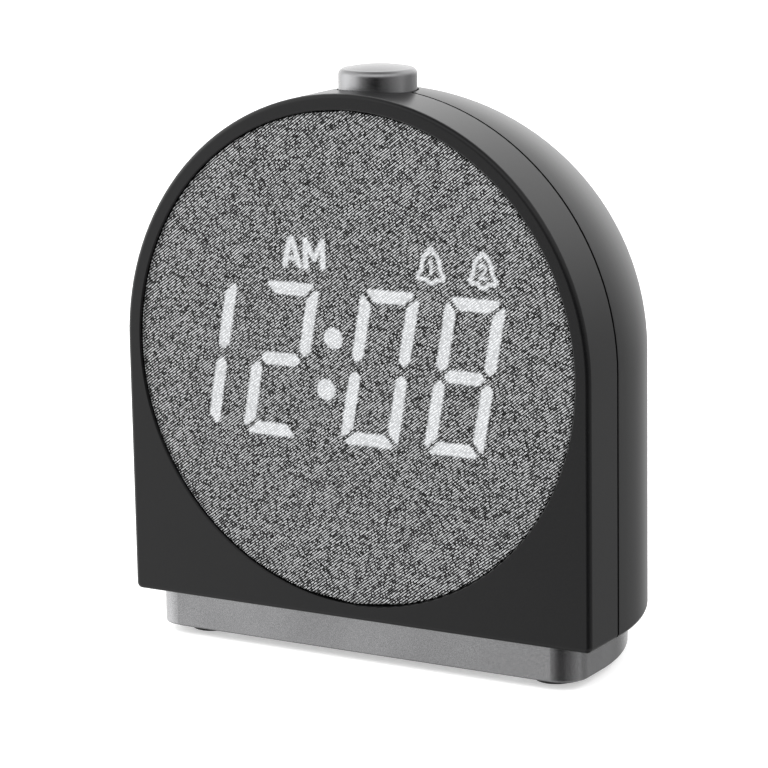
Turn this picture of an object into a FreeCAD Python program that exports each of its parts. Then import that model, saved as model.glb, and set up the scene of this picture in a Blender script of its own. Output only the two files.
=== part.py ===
import FreeCAD, Part
import math
import os
import Sketcher
from FreeCAD import Placement, Rotation, Vector

# Desk alarm clock: an arched front shell with a round fabric-covered display,
# a half-dome rear shell, a low plinth and a snooze button at the top.
# Millimetres. X to the right seen from the front, the front face looks along -Y, Z up,
# the origin in the middle of the footprint on the surface the clock stands on.

doc = FreeCAD.newDocument("alarm_clock")

# ---------------------------------------------------------------- driving dimensions
sizes = [
    # housing
    ("case_width", 102.1, "width of the housing"),
    ("front_depth", 11.3, "front shell, face to parting plane"),
    ("rear_land", 1.15, "straight stretch between parting plane and dome"),
    ("wall", 2.0, "wall of both shells"),
    ("overcut", 1.0, "cutting shapes pass a surface by this"),
    ("face_fillet", 0.9, "rounding round the front face"),
    ("heel_fillet", 1.2, "rounding of the lower outer edges"),
    ("seam_gap", 0.6, "shadow gap between the shells"),
    ("lip_thick", 0.9, "centring lip on the front shell"),
    ("lip_length", 1.5, "reach of the lip into the rear shell"),
    ("lip_gap", 0.1, "clearance round the lip"),
    ("hook_width", 8.0, "snap hooks of the front shell"),
    ("hook_length", 4.6, "reach of a hook past the parting plane"),
    ("hook_thick", 1.2, "thickness of a hook"),
    ("hook_catch", 0.7, "height of a hook's barb"),
    ("hook_barb", 1.4, "length of the barb"),
    ("hook_air", 0.3, "clearance round a hook"),
    ("hook_low", 30.0, "lower hooks below the arch centre"),
    ("hook_high", 4.0, "upper hooks below the arch centre"),
    # round display front
    ("bezel_rim", 3.1, "rim of the front face beside the fabric"),
    ("fabric_recess", 0.35, "fabric behind the face"),
    ("fabric_thick", 0.45, "woven cover"),
    ("fabric_wrap", 1.2, "cover turned round the edge of the disc"),
    ("disc_thick", 1.6, "translucent carrier disc"),
    ("disc_gap", 0.12, "clearance round the covered disc"),
    ("disc_skin", 0.2, "holes in the disc's bosses stop short of the disc"),
    ("fabric_air", 0.05, "air between cover and disc"),
    ("opening_edge", 0.3, "rounded edge of the round opening"),
    ("ledge_width", 2.2, "ledge the disc is bonded to"),
    ("ledge_thick", 1.4, "thickness of that ledge"),
    # display block
    ("frame_margin", 2.1, "display block beyond the outer alarm indicator"),
    ("frame_above", 25.6, "display block above the arch centre"),
    ("frame_below", 18.4, "display block below the arch centre"),
    ("frame_thick", 6.0, "depth of the display block"),
    ("frame_gap", 0.15, "air between disc and display block"),
    ("ear_offset", 29.0, "fixing ears, centre to side"),
    ("ear_reach", 3.4, "ear centre beyond the block"),
    ("ear_radius", 3.0, "round end of an ear"),
    ("ear_thick", 1.5, "thickness of an ear"),
    ("segment_depth", 3.4, "depth of a light guide"),
    ("window_gap", 0.1, "clearance round a light guide"),
    ("digit_height", 29.8, "height of a digit"),
    ("digit_width", 11.6, "width of a digit"),
    ("digit_pitch", 19.0, "spacing within a pair of digits"),
    ("pair_spacing", 21.6, "spacing across the colon"),
    ("digit_middle", -4.9, "middle of the colon, to the side of the centre"),
    ("digit_drop", 0.6, "middle of the digits below the arch centre"),
    ("digit_slant", 10.3, "lean of the digits in degrees"),
    ("stroke", 2.65, "width of a segment"),
    ("segment_gap", 0.42, "gap between segments"),
    ("colon_radius", 1.9, "dots of the colon"),
    ("colon_spread", 5.1, "dots above and below the middle"),
    ("sign_rise", 20.1, "indicators above the arch centre"),
    ("sign_height", 7.8, "height of an indicator window"),
    ("half_day_width", 10.6, "width of a half-day indicator"),
    ("half_day_outer", 22.3, "first half-day indicator, left of the centre"),
    ("half_day_inner", 9.35, "second half-day indicator, left of the centre"),
    ("bell_width", 8.4, "width of an alarm indicator"),
    ("bell_inner", 18.2, "first alarm indicator, right of the centre"),
    ("bell_outer", 29.2, "second alarm indicator, right of the centre"),
    # circuit boards
    ("board_thick", 1.6, "circuit boards"),
    ("board_play", 0.4, "boards clear of the wall"),
    ("led_size", 1.6, "light emitting diodes"),
    ("led_height", 0.7, "height of a diode"),
    ("chip_size", 9.0, "control chip"),
    ("ribbon_width", 12.0, "flat leads between the boards"),
    ("ribbon_thick", 0.6, "thickness of a flat lead"),
    ("ribbon_bend", 3.2, "bend of the display's flat lead"),
    # fasteners
    ("screw_radius", 1.0, "screw shank"),
    ("screw_head_radius", 1.9, "screw head"),
    ("screw_head_height", 0.9, "height of a pan head"),
    ("screw_play", 0.05, "radial clearance round a shank"),
    ("boss_wall", 1.5, "wall round a screw hole"),
    # snooze button
    ("snooze_radius", 7.55, "snooze button"),
    ("snooze_proud", 4.3, "button above the top of the arch"),
    ("snooze_gap", 0.3, "gap round the button"),
    ("snooze_edge", 1.2, "rounding of its top edge"),
    ("snooze_crown", 0.65, "domed top above that edge"),
    ("snooze_wall", 1.2, "wall of the button"),
    ("snooze_flange", 0.9, "flange beyond the button's side"),
    ("snooze_flange_thick", 1.0, "thickness of the flange"),
    ("snooze_travel", 1.2, "travel of the snooze button"),
    ("stop_gap", 0.3, "flange below the shells at rest"),
    ("shelf_drop", 12.25, "top of the snooze board below the top of the arch"),
    ("shelf_half_width", 9.5, "shelf under the snooze board"),
    ("shelf_thick", 1.6, "thickness of the shelf"),
    ("shelf_front", 8.6, "shelf in front of the button's axis"),
    ("spring_radius", 5.2, "mean radius of the return spring"),
    ("spring_wire", 0.5, "wire of the spring"),
    ("spring_turns", 5.0, "turns of the spring"),
    ("spring_air", 0.05, "spring clear of its seats"),
    # push switches
    ("switch_size", 6.0, "body of a push switch"),
    ("switch_height", 3.5, "height of a push switch"),
    ("well_radius", 1.8, "well in a switch for the stem"),
    ("well_depth", 2.5, "depth of the well"),
    ("stem_radius", 1.5, "stem of a button"),
    ("stem_entry", 1.1, "stem inside the well at rest"),
    # control field on the back
    ("field_depth", 7.0, "flat field behind the back of the dome"),
    ("field_rise", 34.0, "lower edge of the field above the housing floor"),
    ("field_height", 30.0, "height of the field"),
    ("key_radius", 3.6, "set buttons"),
    ("key_proud", 1.4, "set buttons above the field"),
    ("key_edge", 0.4, "rounding of a set button"),
    ("key_gap", 0.25, "gap round a set button"),
    ("key_flange", 1.0, "flange beyond a set button's side"),
    ("key_flange_thick", 0.8, "thickness of that flange"),
    ("key_rest_gap", 0.2, "flange in front of the field at rest"),
    ("key_travel", 0.6, "travel of a set button"),
    ("key_column", 13.0, "spacing of the set buttons sideways"),
    ("key_row", 12.0, "spacing of the set buttons upwards"),
    ("switch_clear", 1.0, "flange to switch"),
    ("main_half_width", 24.0, "main board, centre to side"),
    ("main_rise", 18.5, "lower edge of the main board above the housing floor"),
    ("main_height", 53.0, "height of the main board"),
    ("post_radius", 2.6, "posts for the main board"),
    ("post_half_width", 20.0, "posts, centre to side"),
    ("post_margin", 3.6, "posts from the board's upper and lower edges"),
    # sounder
    ("buzzer_radius", 6.0, "sounder"),
    ("buzzer_height", 9.0, "height of the sounder"),
    ("buzzer_rise", 7.0, "sounder above the main board's lower edge"),
    ("port_depth", 1.0, "round port in the sounder"),
    ("slot_width", 1.3, "sound slots"),
    ("slot_pitch", 2.6, "spacing of the sound slots"),
    ("slot_height", 9.0, "height of the longest sound slot"),
    # power inlet
    ("inlet_half_width", 4.47, "power socket, centre to side"),
    ("inlet_height", 3.26, "height of the power socket"),
    ("inlet_length", 9.6, "length of the power socket"),
    ("inlet_wall", 0.3, "sheet of the socket's shell"),
    ("inlet_setback", 0.8, "mouth of the socket inside the back"),
    ("inlet_flat", 1.7, "flat round the socket's mouth"),
    ("inlet_gap", 0.25, "clearance round the socket"),
    ("tongue_half_width", 3.3, "contact tongue, centre to side"),
    ("tongue_thick", 0.7, "thickness of the contact tongue"),
    ("socket_back", 1.5, "closed back of the power socket"),
    ("tongue_setback", 1.0, "tongue inside the socket's mouth"),
    ("power_rise", 4.6, "underside of the power board above the housing floor"),
    ("power_half_width", 13.0, "power board, centre to side"),
    ("power_length", 21.0, "power board, front to back"),
    # base
    ("foot_proud", 1.35, "feet below the base plate"),
    ("foot_seat", 0.4, "feet set into the base plate"),
    ("foot_play", 0.1, "clearance round a foot in its seat"),
    ("foot_radius", 4.0, "rubber feet"),
    ("foot_inset", 8.2, "foot centre inside the plinth's outline"),
    ("foot_angle", 52.0, "rear feet, round from the side, in degrees"),
    ("plate_lip", 0.45, "base plate below the plinth"),
    ("plate_spigot", 1.3, "base plate inside the plinth"),
    ("plate_gap", 0.15, "clearance round the spigot"),
    ("plate_head", 0.95, "depth of the seats for the screw heads"),
    ("plate_inset", 1.5, "base plate inside the plinth's outline"),
    ("plinth_height", 6.9, "height of the plinth"),
    ("plinth_inset", 3.9, "plinth inside the sides of the housing"),
    ("plinth_setback", 1.2, "plinth behind the front face"),
    ("plinth_corner", 5.2, "rounded front corners of the plinth"),
    ("plinth_edge", 0.4, "rounding of the plinth's lower edge"),
    ("plinth_wall", 2.0, "side wall of the plinth"),
    ("plinth_roof", 1.6, "top wall of the plinth"),
    ("fixing_front", 6.8, "front base screws behind the face"),
    ("fixing_front_side", 32.0, "front base screws, centre to side"),
    ("fixing_rear", 22.0, "rear base screws behind the dome's axis"),
    ("fixing_rear_side", 30.0, "rear base screws, centre to side"),
    ("fixing_boss_height", 6.0, "bosses on the housing floor"),
    # back-up cell
    ("cell_radius", 10.0, "coin cell"),
    ("cell_thick", 3.2, "thickness of the coin cell"),
    ("cell_play", 0.6, "clearance round the cell"),
    ("cell_back", 14.0, "cell behind the dome's axis"),
    ("well_wall", 1.2, "ring round the cell"),
    ("contact_thick", 0.3, "contact springs"),
    ("contact_air", 0.05, "contact springs clear of the cell"),
    ("contact_width", 4.0, "width of a contact spring"),
    ("contact_half", 8.0, "upper contact spring, centre to end"),
    ("contact_high", 1.6, "height of the contact spring at the side"),
    ("cap_radius", 8.6, "smaller lower cap of the cell"),
    ("door_radius", 12.2, "battery door"),
    ("door_gap", 0.25, "gap round the battery door"),
    ("door_thick", 1.2, "thickness of the door"),
    ("door_recess", 0.1, "door and screw heads above the underside"),
    ("rim_width", 1.3, "raised rim of the door"),
    ("ring_gap", 0.25, "ring round the cell above the lugs"),
    ("lug_radius", 13.8, "reach of the door's lugs"),
    ("lug_width", 4.0, "width of a lug"),
    ("lug_thick", 0.8, "thickness of a lug"),
    ("lug_gap", 0.2, "lug above the base plate"),
    ("lug_count", 3, "lugs on the door"),
    ("door_turn", 40.0, "turn of the door to open it, in degrees"),
    ("hub_radius", 9.2, "hub of the door under the cell"),
    ("coin_slot", 1.5, "width of the coin slot"),
    ("slot_half", 7.0, "coin slot, centre to end"),
    ("slot_depth", 0.6, "depth of the coin slot"),
]

sheet = doc.addObject("Spreadsheet::Sheet", "dims")
for row, (alias, value, note) in enumerate(sizes, start=1):
    sheet.set(f"A{row}", note)
    sheet.set(f"B{row}", str(value))
    sheet.setAlias(f"B{row}", alias)
doc.recompute()

# ---------------------------------------------------------------- places that follow from them
case_radius = "(dims.case_width / 2)"
face_y = f"(-(dims.front_depth + dims.rear_land + {case_radius}) / 2)"
parting_y = f"({face_y} + dims.front_depth)"
dome_y = f"({parting_y} + dims.rear_land)"
rear_y = f"({dome_y} + {case_radius})"
plinth_low = "(dims.foot_proud + dims.plate_lip)"
plate_top = f"({plinth_low} + dims.plate_spigot)"
case_floor = f"({plinth_low} + dims.plinth_height)"
arch_z = f"({case_floor} + {case_radius})"
apex_z = f"({arch_z} + {case_radius})"
inner_radius = f"({case_radius} - dims.wall)"
inner_floor = f"({case_floor} + dims.wall)"

seat_radius = f"({case_radius} - dims.bezel_rim)"
ledge_radius = f"({seat_radius} - dims.ledge_width)"
cover_radius = f"({seat_radius} - dims.disc_gap)"
disc_radius = f"({cover_radius} - dims.fabric_thick - dims.fabric_air)"
cover_y = f"({face_y} + dims.fabric_recess)"
disc_y = f"({cover_y} + dims.fabric_thick + dims.fabric_air)"
disc_back = f"({disc_y} + dims.disc_thick)"
seat_depth = "(dims.fabric_recess + dims.fabric_thick + dims.fabric_air + dims.disc_thick)"
front_wall = f"({seat_depth} + dims.ledge_thick)"
frame_half = "(dims.bell_outer + dims.bell_width / 2 + dims.frame_margin)"
frame_y = f"({disc_back} + dims.frame_gap)"
frame_back = f"({frame_y} + dims.frame_thick)"
ear_y = f"({frame_back} - dims.ear_thick)"
display_back = f"({frame_back} + dims.board_thick)"
ear_high = f"({arch_z} + dims.frame_above + dims.ear_reach)"
ear_low = f"({arch_z} - dims.frame_below - dims.ear_reach)"

field_y = f"({rear_y} - dims.field_depth)"
field_low = f"({case_floor} + dims.field_rise)"
field_middle = f"({field_low} + dims.field_height / 2)"
key_flange_y = f"({field_y} - dims.wall - dims.key_rest_gap - dims.key_flange_thick)"
switch_y = f"({key_flange_y} - dims.switch_clear)"
main_rear = f"({switch_y} - dims.switch_height)"
main_front = f"({main_rear} - dims.board_thick)"
main_low = f"({case_floor} + dims.main_rise)"
main_high = f"({main_low} + dims.main_height)"
buzzer_z = f"({main_low} + dims.buzzer_rise)"

flange_radius = "(dims.snooze_radius + dims.snooze_flange)"
snooze_top = f"({apex_z} + dims.snooze_proud)"
flange_top = f"({arch_z} + sqrt({inner_radius} ^ 2 - {flange_radius} ^ 2) - dims.stop_gap)"
flange_low = f"({flange_top} - dims.snooze_flange_thick)"
snooze_rim = f"({snooze_top} - dims.snooze_crown)"
snooze_roof = f"({snooze_rim} - dims.snooze_wall)"
snooze_board_top = f"({apex_z} - dims.shelf_drop)"
shelf_top = f"({snooze_board_top} - dims.board_thick)"
shelf_low = f"({shelf_top} - dims.shelf_thick)"
snooze_switch_top = f"({snooze_board_top} + dims.switch_height)"

power_low = f"({case_floor} + dims.power_rise)"
power_top = f"({power_low} + dims.board_thick)"
inlet_mouth = f"({rear_y} - dims.inlet_setback)"
inlet_front = f"({inlet_mouth} - dims.inlet_length)"
inlet_z = f"({power_top} + dims.inlet_height / 2)"
power_rear = f"({dome_y} + sqrt({inner_radius} ^ 2 - dims.power_half_width ^ 2) - dims.board_play)"
power_front = f"({power_rear} - dims.power_length)"

plinth_half = f"({case_radius} - dims.plinth_inset)"
plinth_front = f"({face_y} + dims.plinth_setback)"
plate_half = f"({plinth_half} - dims.plate_inset)"
boss_radius = "(dims.screw_radius + dims.screw_play + dims.boss_wall)"
hole_radius = "(dims.screw_radius + dims.screw_play)"
fixing_y = f"({face_y} + dims.fixing_front)"
rear_fixing_y = f"({dome_y} + dims.fixing_rear)"
fixing_top = f"({inner_floor} + dims.fixing_boss_height)"
cell_y = f"({dome_y} + dims.cell_back)"
plinth_ceiling = f"({case_floor} - dims.plinth_roof)"
cell_top = f"({plinth_ceiling} - dims.contact_thick - dims.contact_air)"
cell_low = f"({cell_top} - dims.cell_thick)"
well_inner = "(dims.cell_radius + dims.cell_play)"
lug_low = f"({plate_top} + dims.lug_gap)"
lug_top = f"({lug_low} + dims.lug_thick)"


def number(expression):
    """The value of an expression in the sheet's sizes."""
    value = sheet.evalExpression(expression)
    return float(getattr(value, "Value", value))


# ---------------------------------------------------------------- small building helpers
def new_body(label):
    """An empty PartDesign body."""
    body = doc.addObject("PartDesign::Body", label)
    body.Label = label
    return body


def new_sketch(body, role, name, offset=None):
    """A sketch on one of the body's own origin planes, moved along its normal."""
    sketch = body.newObject("Sketcher::SketchObject", name)
    plane = next(item for item in body.Origin.OriginFeatures if item.Role == role)
    sketch.AttachmentSupport = [(plane, "")]
    sketch.MapMode = "FlatFace"
    if offset:
        sketch.setExpression("AttachmentOffset.Base.z", offset)
    return sketch


def pin_point(sketch, edge, point, where):
    """Fix one point of a sketch by two expressions; a plain 0 puts it on the axis."""
    for axis, kind, expression in ((-2, "DistanceX", where[0]), (-1, "DistanceY", where[1])):
        if expression == "0":
            sketch.addConstraint(Sketcher.Constraint("PointOnObject", edge, point, axis))
            continue
        index = sketch.addConstraint(
            Sketcher.Constraint(kind, -1, 1, edge, point, number(expression)))
        name = f"{kind[-1].lower()}{edge}_{point}"
        sketch.renameConstraint(index, name)
        sketch.setExpression(f"Constraints.{name}", expression)


def draw_outline(sketch, corners, arcs=None):
    """A closed outline through corners given as expressions.

    arcs says which edges are arcs: {edge number: (radius, bulge)}, where bulge is +1 when
    the arc bends to the left of the way from its first corner to its second."""
    arcs = arcs or {}
    base = len(sketch.Geometry)
    points = [Vector(number(x), number(y), 0) for x, y in corners]
    count = len(points)
    for index in range(count):
        first, last = points[index], points[(index + 1) % count]
        if index in arcs:
            radius, bulge = number(arcs[index][0]), arcs[index][1]
            chord = last - first
            side = Vector(-chord.y, chord.x, 0).normalize()
            half = chord.Length / 2
            depth = radius - math.sqrt(max(radius * radius - half * half, 0))
            middle = (first + last) * 0.5 + side * (depth * bulge)
            sketch.addGeometry(Part.Arc(first, middle, last), False)
        else:
            sketch.addGeometry(Part.LineSegment(first, last), False)
    ends = []
    for index in range(count):
        geometry = sketch.Geometry[base + index]
        starts_first = (geometry.StartPoint - points[index]).Length < 1e-6
        ends.append((1, 2) if starts_first else (2, 1))
    for index in range(count):
        following = (index + 1) % count
        sketch.addConstraint(Sketcher.Constraint(
            "Coincident", base + index, ends[index][1], base + following, ends[following][0]))
    for index in range(count):
        pin_point(sketch, base + index, ends[index][0], corners[index])
        if index in arcs:
            number_of = sketch.addConstraint(Sketcher.Constraint(
                "Radius", base + index, number(arcs[index][0])))
            sketch.renameConstraint(number_of, f"bend{index}")
            sketch.setExpression(f"Constraints.bend{index}", arcs[index][0])


def draw_circle(sketch, centre, radius):
    """A full circle fixed by expressions."""
    place = Vector(number(centre[0]), number(centre[1]), 0)
    index = sketch.addGeometry(Part.Circle(place, Vector(0, 0, 1), number(radius)), False)
    pin_point(sketch, index, 3, centre)
    named = sketch.addConstraint(Sketcher.Constraint("Radius", index, number(radius)))
    sketch.renameConstraint(named, f"round{index}")
    sketch.setExpression(f"Constraints.round{index}", radius)


def draw_arch(sketch, radius, floor, heel=None):
    """The housing's outline from the front: a half circle on straight sides and a flat floor."""
    top = f"({arch_z} + {radius})"
    if heel is None:
        corners = [(f"-{radius}", floor), (radius, floor), (radius, arch_z), ("0", top),
                   (f"-{radius}", arch_z)]
        draw_outline(sketch, corners, {2: (radius, -1), 3: (radius, -1)})
        return
    inner, raised = f"({radius} - {heel})", f"({floor} + {heel})"
    corners = [(f"-{inner}", floor), (inner, floor), (radius, raised), (radius, arch_z),
               ("0", top), (f"-{radius}", arch_z), (f"-{radius}", raised)]
    draw_outline(sketch, corners,
                 {1: (heel, -1), 3: (radius, -1), 4: (radius, -1), 6: (heel, -1)})


def draw_plan(sketch, half, front, corner):
    """The plinth's outline from above: a straight front, rounded corners and a round back."""
    inner, behind, back = f"({half} - {corner})", f"({front} + {corner})", f"({dome_y} + {half})"
    corners = [(f"-{inner}", front), (inner, front), (half, behind), (half, dome_y),
               ("0", back), (f"-{half}", dome_y), (f"-{half}", behind)]
    draw_outline(sketch, corners,
                 {1: (corner, -1), 3: (half, -1), 4: (half, -1), 6: (corner, -1)})


def draw_slot(sketch, half_width, middle, radius):
    """A flat slot with round ends about the vertical axis."""
    flat, low, high = f"({half_width} - {radius})", f"({middle} - {radius})", f"({middle} + {radius})"
    corners = [(f"-{flat}", low), (flat, low), (half_width, middle), (flat, high),
               (f"-{flat}", high), (f"-{half_width}", middle)]
    arc = (radius, -1)
    draw_outline(sketch, corners, {1: arc, 2: arc, 4: arc, 5: arc})


def feature(body, kind, name, sketch, length, backwards=False):
    """A Pad or Pocket of a sketch; backwards turns its direction round."""
    made = body.newObject(f"PartDesign::{kind}", name)
    made.Profile = sketch
    made.setExpression("Length", length)
    made.Reversed = backwards
    before = body.Shape.Volume if kind == "Pocket" else None
    doc.recompute()
    if before is not None and not made.Shape.Volume < before - 1e-3:
        raise ValueError(f"{name} cuts nothing")
    return made


def revolve(body, name, sketch, angle=360):
    """The profile turned about the sketch's vertical axis."""
    made = body.newObject("PartDesign::Revolution", name)
    made.Profile = sketch
    made.ReferenceAxis = (sketch, ["V_Axis"])
    made.Angle = angle
    doc.recompute()
    return made


def round_edges(body, name, base, radius, chosen):
    """A fillet on every edge of base for which chosen is true."""
    names = [f"Edge{index}" for index, edge in enumerate(base.Shape.Edges, start=1) if chosen(edge)]
    made = body.newObject("PartDesign::Fillet", name)
    made.Base = (base, names)
    made.setExpression("Radius", radius)
    doc.recompute()
    return made


def flat_at(edge, axis, level):
    """True when the whole edge lies in the plane axis = level."""
    box = edge.BoundBox
    low, high = {"x": (box.XMin, box.XMax), "y": (box.YMin, box.YMax),
                 "z": (box.ZMin, box.ZMax)}[axis]
    return abs(low - level) < 1e-4 and abs(high - level) < 1e-4


def put(item, x="0", y="0", z="0"):
    """Bind an object's place to three expressions."""
    for axis, expression in (("x", x), ("y", y), ("z", z)):
        if expression != "0":
            item.setExpression(f"Placement.Base.{axis}", expression)
    return item


def box(name, low, size):
    """A block from its lowest corner and its three lengths, all expressions."""
    made = doc.addObject("Part::Box", name)
    for prop, expression in zip(("Length", "Width", "Height"), size):
        made.setExpression(prop, expression)
    return put(made, *low)


def wide_box(name, half, low_y, depth, low_z, height):
    """A block centred on x = 0."""
    return box(name, (f"-{half}", low_y, low_z), (f"2 * {half}", depth, height))


turns = {"z": Rotation(), "y": Rotation(Vector(1, 0, 0), -90)}


def rod(name, axis, start, radius, length):
    """A cylinder from its start along +Y or +Z."""
    made = doc.addObject("Part::Cylinder", name)
    made.Placement = Placement(Vector(), turns[axis])
    made.setExpression("Radius", radius)
    made.setExpression("Height", length)
    return put(made, *start)


def pair(make, name, side, *rest):
    """The same thing on the right and on the left."""
    return [make(f"{name}_right", side, *rest), make(f"{name}_left", f"-{side}", *rest)]


def fuse(name, items):
    """Several solids joined."""
    made = doc.addObject("Part::MultiFuse", name)
    made.Shapes = items
    made.Refine = True
    return made


def cut(name, base, tools):
    """A solid less one or several others."""
    made = doc.addObject("Part::Cut", name)
    made.Base = base
    made.Tool = fuse(f"{name}_cutters", tools) if len(tools) > 1 else tools[0]
    made.Refine = True
    return made


def within(name, item, limit):
    """The part of a solid that lies inside another."""
    made = doc.addObject("Part::Common", name)
    made.Base = item
    made.Tool = limit
    return made


def group(name, items):
    """Separate solids kept together as one sub-part."""
    made = doc.addObject("Part::Compound", name)
    made.Links = items
    return made


def plain(name, shape):
    """A sub-part whose shape is worked out here from the sheet's sizes."""
    made = doc.addObject("Part::Feature", name)
    made.Shape = shape
    made.Placement = Placement()
    return made


# ---------------------------------------------------------------- front shell
def front_bezel():
    """Arch-shaped front shell: round seat for the disc, a ledge behind it, lip, hooks, bosses."""
    body = new_body("bezel_form")
    outline = new_sketch(body, "XZ_Plane", "bezel_outline", f"-{face_y}")
    draw_arch(outline, case_radius, case_floor, "dims.heel_fillet")
    solid = feature(body, "Pad", "bezel_block", outline, "dims.front_depth", True)
    solid = round_edges(body, "bezel_face_edge", solid, "dims.face_fillet",
                        lambda edge: flat_at(edge, "y", number(face_y)))
    hollow = new_sketch(body, "XZ_Plane", "bezel_hollow_outline", f"-{parting_y}")
    draw_arch(hollow, inner_radius, inner_floor)
    feature(body, "Pocket", "bezel_hollow", hollow, f"dims.front_depth - {front_wall}", True)
    for name, radius, depth in (("seat", seat_radius, seat_depth),
                                ("ledge", ledge_radius, front_wall)):
        circle = new_sketch(body, "XZ_Plane", f"{name}_circle", f"-{face_y}")
        draw_circle(circle, ("0", arch_z), radius)
        solid = feature(body, "Pocket", f"{name}_opening", circle, depth)
    rim = number(seat_radius)
    round_edges(body, "opening_edge", solid, "dims.opening_edge",
                lambda edge: flat_at(edge, "y", number(face_y)) and edge.BoundBox.XLength > rim)
    lip = new_sketch(body, "XZ_Plane", "lip_outline", f"-{parting_y}")
    draw_arch(lip, f"({inner_radius} + dims.lip_thick)", f"({inner_floor} - dims.lip_thick)")
    feature(body, "Pad", "lip", lip, "dims.lip_length", True)
    bore = new_sketch(body, "XZ_Plane", "lip_bore_outline", f"-({parting_y} + dims.lip_length)")
    draw_arch(bore, inner_radius, inner_floor)
    feature(body, "Pocket", "lip_bore", bore, "dims.lip_length", True)

    added = [body]
    blade = f"({inner_radius} - dims.hook_air - dims.hook_thick)"
    for level, drop in (("low", "dims.hook_low"), ("high", "dims.hook_high")):
        z = f"({arch_z} - {drop} - dims.hook_width / 2)"
        root_y, reach = f"({parting_y} - dims.wall)", "(dims.wall + dims.hook_length)"
        barb_y = f"({parting_y} + dims.hook_length - dims.hook_barb)"
        for side in ("right", "left"):
            def placed(x, width):
                return x if side == "right" else f"(-{x} - {width})"
            root = "(dims.hook_thick + dims.hook_air + dims.wall / 2)"
            added += [
                box(f"hook_root_{level}_{side}", (placed(blade, root), root_y, z),
                    (root, "dims.wall", "dims.hook_width")),
                box(f"hook_{level}_{side}", (placed(blade, "dims.hook_thick"), root_y, z),
                    ("dims.hook_thick", reach, "dims.hook_width")),
                box(f"hook_barb_{level}_{side}",
                    (placed(blade, "(dims.hook_thick + dims.hook_catch)"), barb_y, z),
                    ("dims.hook_thick + dims.hook_catch", "dims.hook_barb", "dims.hook_width")),
            ]
    boss_depth = "dims.wall + dims.fixing_boss_height"
    added += pair(lambda name, x: rod(name, "z", (x, fixing_y, case_floor), boss_radius, boss_depth),
                  "front_boss", "dims.fixing_front_side")
    holes = pair(lambda name, x: rod(name, "z", (x, fixing_y, f"{case_floor} - dims.overcut"),
                                     hole_radius, boss_depth),
                 "front_boss_hole", "dims.fixing_front_side")
    return cut("front_bezel", fuse("bezel_fused", added), holes + [snooze_hole("bezel_button_hole")])


def snooze_hole(name):
    """The round hole at the top that both shells share."""
    return rod(name, "z", ("0", dome_y, f"{apex_z} - 10"), "dims.snooze_radius + dims.snooze_gap", "20")


# ---------------------------------------------------------------- rear shell
def dome(name, radius, floor, land, heel=None):
    """Half a round tower with a ball-shaped top, and a straight land in front of it."""
    body = new_body(name)
    profile = new_sketch(body, "XZ_Plane", f"{name}_profile", f"-{dome_y}")
    top = f"({arch_z} + {radius})"
    if heel is None:
        corners = [("0", floor), (radius, floor), (radius, arch_z), ("0", top)]
        draw_outline(profile, corners, {2: (radius, -1)})
    else:
        corners = [("0", floor), (f"({radius} - {heel})", floor), (radius, f"({floor} + {heel})"),
                   (radius, arch_z), ("0", top)]
        draw_outline(profile, corners, {1: (heel, -1), 3: (radius, -1)})
    revolve(body, f"{name}_turned", profile, 180)
    arch = new_sketch(body, "XZ_Plane", f"{name}_arch", f"-{dome_y}")
    draw_arch(arch, radius, floor, heel)
    feature(body, "Pad", f"{name}_land", arch, land)
    return body


def key_places():
    """The six set buttons: name and place on the control field."""
    names = [["time_button", "alarm_one_button", "alarm_two_button"],
             ["minus_button", "plus_button", "dimmer_button"]]
    for row, line in enumerate(names):
        z = f"({field_middle} + (0.5 - {row}) * dims.key_row)"
        for column, name in enumerate(line):
            yield name, f"((1 - {column}) * dims.key_column)", z


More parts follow.
